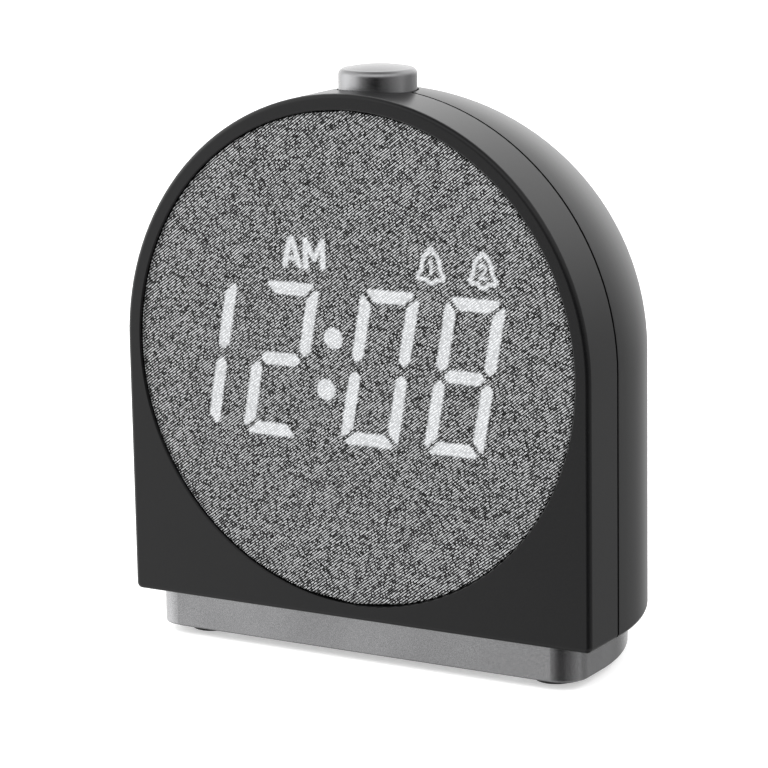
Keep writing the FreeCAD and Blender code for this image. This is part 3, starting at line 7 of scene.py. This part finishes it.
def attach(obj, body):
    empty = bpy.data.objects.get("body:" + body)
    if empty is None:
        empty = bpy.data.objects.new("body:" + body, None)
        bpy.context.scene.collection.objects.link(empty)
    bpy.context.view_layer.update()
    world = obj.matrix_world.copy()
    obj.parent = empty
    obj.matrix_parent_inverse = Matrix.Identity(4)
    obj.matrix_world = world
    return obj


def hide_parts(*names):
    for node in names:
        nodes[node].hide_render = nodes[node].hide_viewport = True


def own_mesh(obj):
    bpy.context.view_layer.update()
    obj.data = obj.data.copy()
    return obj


# Desk alarm clock. Lengths are metres; values in millimetres say so in their names.
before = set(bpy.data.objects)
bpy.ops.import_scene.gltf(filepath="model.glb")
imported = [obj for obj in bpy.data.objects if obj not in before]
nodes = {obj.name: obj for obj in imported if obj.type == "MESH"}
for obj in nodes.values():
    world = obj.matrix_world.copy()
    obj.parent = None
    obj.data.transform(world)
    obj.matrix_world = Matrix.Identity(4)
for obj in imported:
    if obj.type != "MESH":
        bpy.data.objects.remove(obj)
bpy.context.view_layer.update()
mm = 0.001
print("frame loaded:", len(nodes), "nodes")


# ---- small tools ----
def linearColour(hexText):
    # an sRGB hex value as the linear colour that a shader takes
    parts = [int(hexText[i:i + 2], 16) / 255 for i in (0, 2, 4)]
    linear = [c / 12.92 if c <= 0.04045 else ((c + 0.055) / 1.055) ** 2.4 for c in parts]
    return (*linear, 1.0)


def addNode(tree, kind, settings=None, links=None):
    # one shader node: settings are properties or socket values, links are socket: (node, output)
    node = tree.nodes.new(kind)
    for key, value in (settings or {}).items():
        if isinstance(key, str) and hasattr(node, key):
            setattr(node, key, value)
        else:
            node.inputs[key].default_value = value
    for key, (source, output) in (links or {}).items():
        tree.links.new(source.outputs[output], node.inputs[key])
    return node


def newMaterial(name, **shaderValues):
    material = bpy.data.materials.new(name)
    material.use_nodes = True
    tree = material.node_tree
    shader = tree.nodes["Principled BSDF"]
    for key, value in shaderValues.items():
        shader.inputs[key.replace("_", " ")].default_value = value
    return material, tree, shader


# the noise that every finish shares: fine specks and wide clouds, and the part of it that mixes
grain = {"detail": 3.0, "cloudMm": 18.0, "cloudDetail": 2.0, "cloudShare": 0.35,
         "range": (0.4, 0.95)}


def finish(name, first, second, patternMm, roughness, bumpMm=0.0, bumpStrength=0.3,
           stretch=(1, 1, 1), **shaderValues):
    # a moulded, painted or rolled surface: noise of a real grain size, with wide faint clouds,
    # mixes two near colours, moves the roughness between two values and lifts the surface by a
    # real height; the values left over are sockets of the shader
    material, tree, shader = newMaterial(name, **shaderValues)
    place = addNode(tree, "ShaderNodeTexCoord")
    spread = addNode(tree, "ShaderNodeMapping", {"Scale": stretch}, {"Vector": (place, "Object")})
    speck = addNode(tree, "ShaderNodeTexNoise", {"Scale": 1 / (patternMm * mm),
                                                 "Detail": grain["detail"]},
                    {"Vector": (spread, "Vector")})
    cloud = addNode(tree, "ShaderNodeTexNoise", {"Scale": 1 / (grain["cloudMm"] * mm),
                                                 "Detail": grain["cloudDetail"]},
                    {"Vector": (place, "Object")})
    both = addNode(tree, "ShaderNodeMath", {"operation": "MULTIPLY_ADD", 1: grain["cloudShare"]},
                   {0: (cloud, "Fac"), 2: (speck, "Fac")})
    low, high = grain["range"]
    share = addNode(tree, "ShaderNodeMapRange", {"From Min": low, "From Max": high},
                    {"Value": (both, "Value")})
    colour = addNode(tree, "ShaderNodeMix", {"data_type": "RGBA", 6: linearColour(first),
                                             7: linearColour(second)}, {0: (share, "Result")})
    tree.links.new(colour.outputs[2], shader.inputs["Base Color"])
    rough = addNode(tree, "ShaderNodeMapRange", {"To Min": roughness[0], "To Max": roughness[1]},
                    {"Value": (speck, "Fac")})
    tree.links.new(rough.outputs["Result"], shader.inputs["Roughness"])
    if bumpMm:
        bump = addNode(tree, "ShaderNodeBump", {"Strength": bumpStrength, "Distance": bumpMm * mm},
                       {"Height": (speck, "Fac")})
        tree.links.new(bump.outputs["Normal"], shader.inputs["Normal"])
    return material


def gridMesh(points, closed=False):
    # points and faces of a grid of points (rows, columns, 3), its columns joined round when closed
    rows, columns = points.shape[:2]
    index = np.arange(rows * columns).reshape(rows, columns)
    right = np.roll(index, -1, axis=1) if closed else index[:, 1:]
    left = index if closed else index[:, :-1]
    quads = np.stack([left[:-1], right[:-1], right[1:], left[1:]], axis=-1).reshape(-1, 4)
    return points.reshape(-1, 3), quads


def makeObject(name, points, faces, material, body=None):
    # a smooth mesh object, riding on a body of the frame where one is named
    mesh = bpy.data.meshes.new(name)
    mesh.from_pydata(points.tolist(), [], faces)
    mesh.polygons.foreach_set("use_smooth", np.full(len(mesh.polygons), True))
    mesh.materials.append(material)
    mesh.update()
    made = bpy.data.objects.new(name, mesh)
    bpy.context.scene.collection.objects.link(made)
    if body:
        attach(made, body)
    return made


def dress(material, *names):
    # a CAD node keeps its shape and takes this material
    for name in names:
        node = nodes[name]
        node.data.materials.clear()
        node.data.materials.append(material)


# ---- lit display: distances to the lit signs ----
display = {
    "centre": (0.0, 0.05975),       # middle of the round front, x and z
    "digitHeightMm": 30.5, "digitWidthMm": 12.7, "pitchMm": 18.4, "pairSpacingMm": 22.0,
    "middleMm": -4.6, "dropMm": 0.95, "slantDegrees": 10.3, "strokeMm": 2.45, "gapMm": 0.65,
    "waistMm": 0.75, "roundMm": 0.45, "colonRadiusMm": 2.05, "colonSpreadMm": 5.07,
    "time": ["bc", "abged", "abcdef", "abcdefg"],     # 12:08
    "letterStrokeMm": 1.1, "crossStrokeMm": 0.9,
    "bellsMm": [17.9, 28.95], "bellFootMm": 15.95, "bellStrokeMm": 0.78, "numberStrokeMm": 0.5,
}
farAway = 1000.0                    # mm, a distance larger than any on the front


def segmentDistance(x, z, start, end):
    # distance to the straight line between two points
    (x0, z0), (dx, dz) = start, (end[0] - start[0], end[1] - start[1])
    t = np.clip(((x - x0) * dx + (z - z0) * dz) / (dx * dx + dz * dz), 0, 1)
    return np.hypot(x - x0 - t * dx, z - z0 - t * dz)


def polygonDistance(x, z, corners, rounding):
    # signed distance to a convex outline with rounded corners: the outline is moved inwards by
    # the rounding, then the true distance to it, less the rounding, is taken
    corners = np.array(corners, float)
    following = np.roll(corners, -1, axis=0)
    if np.sum(corners[:, 0] * following[:, 1] - following[:, 0] * corners[:, 1]) < 0:
        corners = corners[::-1]
        following = np.roll(corners, -1, axis=0)
    along = following - corners
    along /= np.linalg.norm(along, axis=1)[:, None]
    inward = np.stack([-along[:, 1], along[:, 0]], axis=1)
    before = np.roll(inward, 1, axis=0)
    turn = 1 + np.sum(before * inward, axis=1)[:, None]
    corners = corners + rounding * (before + inward) / turn
    following = np.roll(corners, -1, axis=0)
    inside, nearest = np.full(x.shape, -farAway), np.full(x.shape, farAway)
    for start, end, (nx, nz) in zip(corners, following, inward):
        inside = np.maximum(inside, -(x - start[0]) * nx - (z - start[1]) * nz)
        nearest = np.minimum(nearest, segmentDistance(x, z, start, end))
    return np.where(inside < 0, inside, nearest) - rounding


def strokeDistance(x, z, path, width):
    # signed distance to a line of round-ended strokes
    best = np.full(x.shape, farAway)
    for start, end in zip(path[:-1], path[1:]):
        best = np.minimum(best, segmentDistance(x, z, start, end))
    return best - width / 2


def digitShapes(d):
    # the seven segments round a digit's middle, before it leans
    w, h = d["digitWidthMm"] / 2, d["digitHeightMm"] / 2
    s, g, m = d["strokeMm"], d["gapMm"], d["waistMm"]
    bar = [(-w + g, h), (w - g, h), (w - g - s, h - s), (-w + g + s, h - s)]
    side = [(w, h - g), (w, m + s / 2), (w - s / 2, m), (w - s, m + s / 2), (w - s, h - s - g)]
    middle = [(w - g - s / 2, 0), (w - g - s, s / 2), (-w + g + s, s / 2), (-w + g + s / 2, 0),
              (-w + g + s, -s / 2), (w - g - s, -s / 2)]

    def flip(shape, a, b):
        return [(px * a, pz * b) for px, pz in shape]
    return {"a": bar, "b": side, "c": flip(side, 1, -1), "d": flip(bar, 1, -1),
            "e": flip(side, -1, -1), "f": flip(side, -1, 1), "g": middle}


def litDistance(x, z, d):
    # the distance in mm from a point of the front to the nearest lit sign, less than 0 inside it
    lean = math.tan(math.radians(d["slantDegrees"]))
    shapes = digitShapes(d)
    inner = d["pairSpacingMm"] / 2
    outer = inner + d["pitchMm"]
    best = np.full(x.shape, farAway)
    for letters, place in zip(d["time"], (-outer, -inner, inner, outer)):
        for letter in letters:
            corners = [(d["middleMm"] + place + px + pz * lean, pz - d["dropMm"])
                       for px, pz in shapes[letter]]
            best = np.minimum(best, polygonDistance(x, z, corners, d["roundMm"]))
    for sign in (1, -1):
        rise = sign * d["colonSpreadMm"]
        away = np.hypot(x - d["middleMm"] - rise * lean, z - rise + d["dropMm"])
        best = np.minimum(best, away - d["colonRadiusMm"])
    # half-day sign
    letterA = [(-14.2, 17.65), (-12.95, 22.7), (-12.45, 22.7), (-10.95, 17.7)]
    crossBar = [(-13.6, 19.0), (-11.6, 19.0)]
    letterM = [(-9.55, 17.65), (-9.5, 22.6), (-7.6, 19.2), (-5.75, 22.55), (-5.65, 17.75)]
    strokes = [(letterA, d["letterStrokeMm"]), (crossBar, d["crossStrokeMm"]),
               (letterM, d["letterStrokeMm"])]
    # alarm signs: a bell's outline with its number inside
    half = [(0, 7.05), (-0.4, 6.8), (-0.65, 6.25), (-1.35, 5.7), (-1.75, 4.8), (-2.0, 3.1),
            (-2.8, 1.8), (-2.6, 1.35), (-1.1, 1.2), (-0.55, 0.7), (0, 0.5)]
    outline = half + [(-px, pz) for px, pz in half[-2::-1]]
    numbers = [[(-0.3, 4.45), (0.0, 4.75), (0.0, 2.3)],
               [(-0.7, 4.2), (-0.35, 4.75), (0.3, 4.75), (0.65, 4.3), (0.5, 3.7), (-0.7, 2.3),
                (0.75, 2.3)]]
    for middle, number in zip(d["bellsMm"], numbers):
        for path, width in ((outline, d["bellStrokeMm"]), (number, d["numberStrokeMm"])):
            moved = [(middle + px, d["bellFootMm"] + pz) for px, pz in path]
            strokes.append((moved, width))
    for path, width in strokes:
        best = np.minimum(best, strokeDistance(x, z, path, width))
    return best


# ---- woven cover ----
cover = {
    "radius": 0.04783, "faceY": -0.0314, "edge": 0.0004, "wrap": 0.0016, "poleMm": 0.01,
    "coarseMm": 1.1,                # steps of the grid, finer where the lit signs are
    "acrossZones": [(-42, 36, 0.45), (-15, -4, 0.22), (14, 33.5, 0.22)],
    "upwardZones": [(-17, 16, 0.45), (15.5, 24.5, 0.22)],
    "rimSteps": 4,
}


def unevenSteps(low, high, zones, coarse):
    # values from low to high whose steps follow the finest zone they lie in
    values, here = [low], low
    while here < high:
        step = min([s for a, b, s in zones if a <= here <= b] + [coarse])
        here = min(here + step, high)
        values.append(here)
    return np.array(values)


def wovenCover(c, d, material):
    # rows of points across the round front: height z, and x = share * half width of the row,
    # then a rim that follows the outline round the disc's edge; the first and last rows are very
    # short, so that no points fall together
    radiusMm = c["radius"] / mm
    flatMm = radiusMm - c["edge"] / mm
    across = unevenSteps(-flatMm, flatMm, c["acrossZones"], c["coarseMm"])
    highMm = flatMm - c["poleMm"]
    upward = unevenSteps(-highMm, highMm, c["upwardZones"], c["coarseMm"])
    share = across / flatMm
    halfWidth = np.sqrt(flatMm ** 2 - upward ** 2)
    x = halfWidth[:, None] * share[None, :]
    z = np.repeat(upward[:, None], len(share), axis=1)
    face = np.stack([x, np.zeros_like(x), z], axis=-1)
    points, quads = gridMesh(face)
    # the rim: a quarter round and a short wall, carried round the outline
    rows, columns = x.shape
    index = np.arange(rows * columns).reshape(rows, columns)
    loop = np.concatenate([index[:, -1], index[-1, -2::-1], index[-2::-1, 0], index[0, 1:-1]])
    turn = np.arctan2(points[loop, 2], points[loop, 0])
    edgeMm = c["edge"] / mm
    profile = [(flatMm + edgeMm * math.sin(a), edgeMm * (1 - math.cos(a)))
               for a in np.linspace(0, math.pi / 2, c["rimSteps"] + 1)[1:]]
    profile.append((radiusMm, c["wrap"] / mm))
    ring = np.array([[r * np.cos(turn), np.full(turn.shape, y), r * np.sin(turn)]
                     for r, y in profile]).transpose(0, 2, 1)
    start, size = len(points), len(loop)
    ids = np.vstack([loop] + [start + k * size + np.arange(size) for k in range(len(profile))])
    following = np.roll(ids, -1, axis=1)
    rim = np.stack([ids[:-1], following[:-1], following[1:], ids[1:]], axis=-1).reshape(-1, 4)
    points = np.vstack([points, ring.reshape(-1, 3)])
    quads = np.vstack([quads, rim])
    lit = litDistance(points[:, 0], points[:, 2], d)
    placed = points * mm + np.array([d["centre"][0], c["faceY"], d["centre"][1]])
    made = makeObject("wovenCover", placed, quads.tolist(), material, "housing")
    layer = made.data.attributes.new("signDistanceMm", "FLOAT", "POINT")
    layer.data.foreach_set("value", lit.astype(np.float32))
    return made


# Polyester speaker cloth, twill woven from light grey and black yarn: it looks like fine slanted
# ribs broken into short bright and dark stitches, dull. The display's light through it is painted
# on the cloth itself: a soft painted glow and a painted lighter colour in the signs' shapes.
cloth = {
    "ribMm": 0.46, "stitchMm": 0.34, "ribDegrees": 36.0, "waverMm": 0.1, "mottleMm": 2.6,
    "stagger": 0.39, "spread": 0.45, "contrast": 5.0, "shade": 2.45,
    "waverEveryMm": 1.7, "dip": 0.6, "dipShape": 0.5, "mottle": 0.2, "reliefMm": 0.1, "relief": 0.4,
    "noiseDetail": 2.0, "roughness": 0.85, "gloss": 0.2,
    "darkest": "030303", "lightest": "b9babb", "litColour": "f1f4f7", "litStrength": 0.58,
    "litEdgeMm": (0.28, -0.3), "frayMm": 0.18, "paintedLitGrey": "7c7c7c", "paintedLitShare": 0.65,
    "litWeave": (0.75, 0.45),       # painted glow through the gaps, and more through the light yarn
}


def clothMaterial(c):
    material, tree, shader = newMaterial("twillWovenPolyester", Roughness=c["roughness"],
                                         Specular_IOR_Level=c["gloss"])

    def maths(operation, *values, **settings):
        # a maths node whose inputs are numbers or (node, output) pairs
        numbers = {i: v for i, v in enumerate(values) if not isinstance(v, tuple)}
        sources = {i: v for i, v in enumerate(values) if isinstance(v, tuple)}
        settings = {"operation": operation, **numbers, **settings}
        return (addNode(tree, "ShaderNodeMath", settings, sources), 0)

    def noise(sizeMm):
        # soft noise of about this size
        settings = {"Scale": 1 / (sizeMm * mm), "Detail": c["noiseDetail"]}
        return (addNode(tree, "ShaderNodeTexNoise", settings, {"Vector": (place, "Object")}), "Fac")

    place = addNode(tree, "ShaderNodeTexCoord")
    waver = noise(c["waverEveryMm"])
    turned = addNode(tree, "ShaderNodeMapping", {"Rotation": (0, math.radians(c["ribDegrees"]), 0)},
                     {"Vector": (place, "Object")})
    axes = addNode(tree, "ShaderNodeSeparateXYZ", {}, {"Vector": (turned, "Vector")})
    # rows lie across the ribs and stitches along them, each row shifted against the last
    sway = maths("MULTIPLY", maths("SUBTRACT", waver, 0.5), 2 * c["waverMm"] / c["ribMm"])
    across = maths("MULTIPLY_ADD", (axes, "Z"), 1 / (c["ribMm"] * mm), sway)
    row = maths("FLOOR", across)
    shift = maths("MULTIPLY", row, c["stagger"])
    along = maths("MULTIPLY_ADD", (axes, "X"), 1 / (c["stitchMm"] * mm), shift)
    stitch = maths("FLOOR", along)
    cell = addNode(tree, "ShaderNodeCombineXYZ", {}, {"X": stitch, "Z": row})
    chance = addNode(tree, "ShaderNodeTexWhiteNoise", {"noise_dimensions": "3D"},
                     {"Vector": (cell, "Vector")})
    ridge = maths("SINE", maths("MULTIPLY", maths("FRACT", across), math.pi))
    hump = maths("SINE", maths("MULTIPLY", maths("FRACT", along), math.pi))
    hump = maths("POWER", hump, c["dipShape"])
    # a stitch is a ridge with a dip at each end, and its yarn is lighter or darker by chance
    yarn = maths("MULTIPLY", ridge, maths("MULTIPLY_ADD", hump, c["dip"], 1 - c["dip"]))
    share = maths("MULTIPLY_ADD", (chance, "Value"), c["spread"], 1 - c["spread"])
    patch = maths("MULTIPLY_ADD", noise(c["mottleMm"]), c["mottle"], 1 - c["mottle"] / 2)
    share = maths("MULTIPLY", share, patch)
    lightness = maths("MULTIPLY", yarn, share)
    thread = maths("MULTIPLY_ADD", lightness, c["contrast"], -c["shade"], use_clamp=True)
    # painted glow of the display's light through the cloth: full inside a sign and gone a stitch
    # outside it
    distance = addNode(tree, "ShaderNodeAttribute", {"attribute_name": "signDistanceMm"})
    frayed = maths("MULTIPLY_ADD", thread, -c["frayMm"], (distance, "Fac"))
    dark, full = c["litEdgeMm"]
    glow = addNode(tree, "ShaderNodeMapRange", {"From Min": dark, "From Max": full,
                                                "interpolation_type": "SMOOTHSTEP"},
                   {"Value": frayed})
    colour = addNode(tree, "ShaderNodeMix", {"data_type": "RGBA", 6: linearColour(c["darkest"]),
                                             7: linearColour(c["lightest"])}, {0: thread})
    # painted light: inside the signs the cloth's colour is mixed towards a light grey
    paintedLitColour = addNode(tree, "ShaderNodeMix", {"data_type": "RGBA", 7: linearColour(c["paintedLitGrey"])},
                     {0: maths("MULTIPLY", (glow, "Result"), c["paintedLitShare"]), 6: (colour, 2)})
    tree.links.new(paintedLitColour.outputs[2], shader.inputs["Base Color"])
    bump = addNode(tree, "ShaderNodeBump", {"Strength": c["relief"],
                                            "Distance": c["reliefMm"] * mm}, {"Height": yarn})
    tree.links.new(bump.outputs["Normal"], shader.inputs["Normal"])
    # painted glow: the cloth itself emits in the signs' shapes, more on the light yarn, in place of
    # the display's light behind it
    least, more = c["litWeave"]
    weave = maths("MULTIPLY_ADD", thread, more, least)
    strength = maths("MULTIPLY", maths("MULTIPLY", (glow, "Result"), weave), c["litStrength"])
    shader.inputs["Emission Color"].default_value = linearColour(c["litColour"])
    tree.links.new(strength[0].outputs[0], shader.inputs["Emission Strength"])
    return material


clothTop = wovenCover(cover, display, clothMaterial(cloth))
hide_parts("fabric_cover")
print("woven cover made:", len(clothTop.data.vertices), "points")

# ---- finishes of the CAD nodes ----
# ABS, injection moulded in a spark-eroded tool: black with a fine satin grain and broad soft gloss
housingBlack = finish("mouldedSatinAbs", "060607", "0c0c0d", 0.28, (0.28, 0.34), 0.02, 0.3,
                      Specular_IOR_Level=0.2)
# ABS sprayed with a grey metallic lacquer: tiny bright flakes under a satin clear coat
metallicGrey = finish("metallicLacquerOnAbs", "5c5c5d", "7f7f80", 0.2, (0.2, 0.26), 0.01, 0.2,
                      Metallic=0.9, Coat_Weight=0.1, Coat_Roughness=0.3)
# the same lacquer on the button with hardly any clear coat: a softer gloss, darker seen aslant
buttonGrey = finish("softMetallicLacquerOnAbs", "747475", "7d7d7e", 0.2, (0.25, 0.28), 0.01, 0.2,
                    Metallic=0.9, Specular_Tint=(0.85, 0.85, 0.85, 1), Coat_Weight=0.03,
                    Coat_Roughness=0.3)
# ABS, moulded and left plain where it is hardly seen: black, duller than the housing
plainBlack = finish("mouldedMattAbs", "0c0c0d", "161617", 0.5, (0.5, 0.62), 0.02, 0.3)
# polycarbonate filled white, moulded: even, slightly glossy, milky
milkyPolycarbonate = finish("opalPolycarbonate", "dcdcd8", "eeeeea", 6.0, (0.3, 0.36),
                            Transmission_Weight=0.15)
# clear acrylic light guides, polished front
clearAcrylic = finish("clearAcrylic", "e8edf0", "f6fafc", 4.0, (0.08, 0.14),
                      Transmission_Weight=0.6)
# nitrile rubber, moulded: dull black with a faint bloom
softRubber = finish("mouldedNitrileRubber", "131313", "202020", 0.7, (0.72, 0.85), 0.03, 0.4)
# glass-fibre board under green solder mask: the weave just shows
maskedBoard = finish("solderMaskedGlassFibre", "0d3a1f", "16502c", 1.1, (0.32, 0.42), 0.01, 0.3)
# zinc-plated steel: cool grey, slightly cloudy
platedSteel = finish("zincPlatedSteel", "8f9497", "b4b8ba", 1.5, (0.25, 0.4), Metallic=1.0)
# nickel-plated spring bronze
platedBronze = finish("nickelPlatedBronze", "a99b78", "c9bb94", 1.2, (0.22, 0.36), Metallic=1.0)
# polyester film lead, laminated: white with a soft gloss
filmLead = finish("laminatedPolyesterLead", "cfcfca", "dededa", 1.2, (0.3, 0.4),
                  stretch=(1, 0.1, 0.1))
# phosphor under clear silicone
phosphor = finish("phosphorUnderSilicone", "d9c46a", "e9d98a", 0.4, (0.2, 0.3))

dress(housingBlack, "front_bezel", "rear_shell")
dress(metallicGrey, "plinth")
dress(buttonGrey, "snooze_button")
dress(plainBlack, "base_plate", "battery_door", "display_frame", "set_switches", "snooze_switch",
      "control_chip", "buzzer", "socket_tongue", "time_button", "alarm_one_button",
      "alarm_two_button", "minus_button", "plus_button", "dimmer_button")
dress(milkyPolycarbonate, "front_disc")
dress(clearAcrylic, "digit_segments", "indicator_guides")
dress(softRubber, "rubber_feet")
dress(maskedBoard, "display_board", "main_board", "power_board", "snooze_board")
dress(platedSteel, "coin_cell", "base_screws", "display_screws", "board_screws", "power_socket")
dress(platedBronze, "cell_contacts")
dress(filmLead, "power_lead", "ribbon_cable")
dress(phosphor, "display_leds")
print("finishes given to the CAD nodes")

# ---- return spring under the snooze button ----
spring = {
    "middle": (0.0, -0.0193), "footZ": 0.0986, "headZ": 0.1132,
    "radiusMm": 5.2, "wireMm": 0.5, "turns": 5, "travelMm": 1.2, "airMm": 0.05,
    "ringsPerTurn": 48, "sides": 12,
}


def coilSpring(c, material):
    # a round wire on a helix: rings of points stand square to the helix
    rings, sides = c["ringsPerTurn"] * c["turns"] + 1, c["sides"]
    turn = np.linspace(0, 2 * math.pi * c["turns"], rings)
    wire = c["wireMm"] / 2
    height = (c["headZ"] - c["footZ"]) / mm - c["wireMm"]
    outward = np.stack([np.cos(turn), np.sin(turn), np.zeros(rings)], axis=-1)
    path = c["radiusMm"] * outward + np.outer(wire + height * turn / turn[-1], [0, 0, 1])
    slope = height / turn[-1]
    around = c["radiusMm"] * np.stack([-np.sin(turn), np.cos(turn), np.zeros(rings)], axis=-1)
    along = (around + [0, 0, slope]) / np.hypot(c["radiusMm"], slope)
    across = np.cross(along, outward)
    angle = np.linspace(0, 2 * math.pi, sides, endpoint=False)[None, :, None]
    section = np.cos(angle) * outward[:, None] + np.sin(angle) * across[:, None]
    points, quads = gridMesh(path[:, None] + wire * section, closed=True)
    ends = [list(range(sides))[::-1], list(range(len(points) - sides, len(points)))]
    placed = points * mm + np.array([*c["middle"], c["footZ"]])
    return makeObject("returnSpring", placed, quads.tolist() + ends, material, "housing")


coil = coilSpring(spring, platedSteel)
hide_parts("snooze_spring")
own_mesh(coil)
print("return spring made")

# ---- floor, light and camera ----
studio = {
    "floorHalf": 3.0, "floorRows": 9, "floorHex": ("f4f4f4", "f6f6f6"), "floorGrainMm": 3.0,
    "floorRoughness": (0.85, 0.9), "tableGlow": 0.45, "roomStrength": 1.5, "lightHex": "ffffff",
    "wallCosine": 0.7,              # a panel fades out 45 degrees from its middle
    "walls": [                      # azimuth and elevation of the middle, strength added there
        (0, -5, -1.0), (30, -5, -0.6), (60, -5, -0.75), (90, -5, -0.2), (120, -5, -0.25),
        (145, -15, -0.65), (200, -30, -1.0), (0, -90, -1.2),    # dark panels draw the corners
        (0, 90, -1.1),                                          # dark ceiling
        (165, 35, 0.6), (210, 5, 0.55),                         # lights behind
        (270, 0, 0.9), (300, -5, 1.35),                         # lights on the left
        (0, 45, 0.57), (60, 45, 0.4), (300, 45, 0.4),           # soft lights above the front
    ],
}


def buildStudio(s):
    rows = np.linspace(-s["floorHalf"], s["floorHalf"], s["floorRows"])
    x, y = np.meshgrid(rows, rows)
    points, quads = gridMesh(np.stack([x, y, np.zeros_like(x)], axis=-1))
    # opal acrylic of a light table: even white, lit from below so that shadows stay faint
    opal = finish("opalAcrylicTable", *s["floorHex"], s["floorGrainMm"], s["floorRoughness"],
                  Emission_Color=linearColour(s["lightHex"]), Emission_Strength=s["tableGlow"])
    floor = makeObject("studioFloor", points, quads.tolist(), opal)
    floor.visible_glossy = False    # the finishes mirror the room, not the table
    # a white room all round, lighter or darker towards each of its walls
    world = bpy.data.worlds.new("softRoom")
    world.use_nodes = True
    tree = world.node_tree
    place = addNode(tree, "ShaderNodeTexCoord")
    total = addNode(tree, "ShaderNodeValue")
    total.outputs[0].default_value = s["roomStrength"]
    for azimuth, elevation, added in s["walls"]:
        az, el = math.radians(azimuth), math.radians(elevation)
        middle = (math.sin(az) * math.cos(el), -math.cos(az) * math.cos(el), math.sin(el))
        facing = addNode(tree, "ShaderNodeVectorMath", {"operation": "DOT_PRODUCT", 1: middle},
                         {0: (place, "Generated")})
        wall = addNode(tree, "ShaderNodeMapRange", {"From Min": s["wallCosine"], "To Max": added,
                                                    "interpolation_type": "SMOOTHSTEP"},
                       {"Value": (facing, "Value")})
        total = addNode(tree, "ShaderNodeMath", {"operation": "ADD"},
                        {0: (total, 0), 1: (wall, "Result")})
    backdrop = tree.nodes["Background"]
    backdrop.inputs["Color"].default_value = linearColour(s["lightHex"])
    tree.links.new(total.outputs[0], backdrop.inputs["Strength"])
    bpy.context.scene.world = world
    bpy.context.scene.view_settings.view_transform = "Standard"


view = {
    "centreMm": (0.0, -1.75, 55.7), "azimuth": 30.5367, "elevation": 12.2544, "roll": -0.9993,
    "sideMm": -8.7337, "upMm": -5.8735, "distanceMm": 664.1346, "lensMm": 157.4185,
    "sensorMm": 36.0, "clip": (0.01, 20.0),
}


def buildCamera(v):
    az, el, roll = (math.radians(v[k]) for k in ("azimuth", "elevation", "roll"))
    back = Vector((math.sin(az) * math.cos(el), -math.cos(az) * math.cos(el), math.sin(el)))
    right = Vector((math.cos(az), math.sin(az), 0))
    up = back.cross(right)
    place = Vector(v["centreMm"]) + v["sideMm"] * right + v["upMm"] * up + v["distanceMm"] * back
    turnedRight = math.cos(roll) * right + math.sin(roll) * up
    turnedUp = -math.sin(roll) * right + math.cos(roll) * up
    lens = bpy.data.cameras.new("studioCamera")
    lens.lens, lens.sensor_width, lens.sensor_fit = v["lensMm"], v["sensorMm"], "HORIZONTAL"
    lens.clip_start, lens.clip_end = v["clip"]
    camera = bpy.data.objects.new("studioCamera", lens)
    turn = Matrix((turnedRight, turnedUp, back)).transposed().to_4x4()
    turn.translation = place * mm
    camera.matrix_world = turn
    bpy.context.scene.collection.objects.link(camera)
    bpy.context.scene.camera = camera


buildStudio(studio)
buildCamera(view)
print("studio and camera ready")
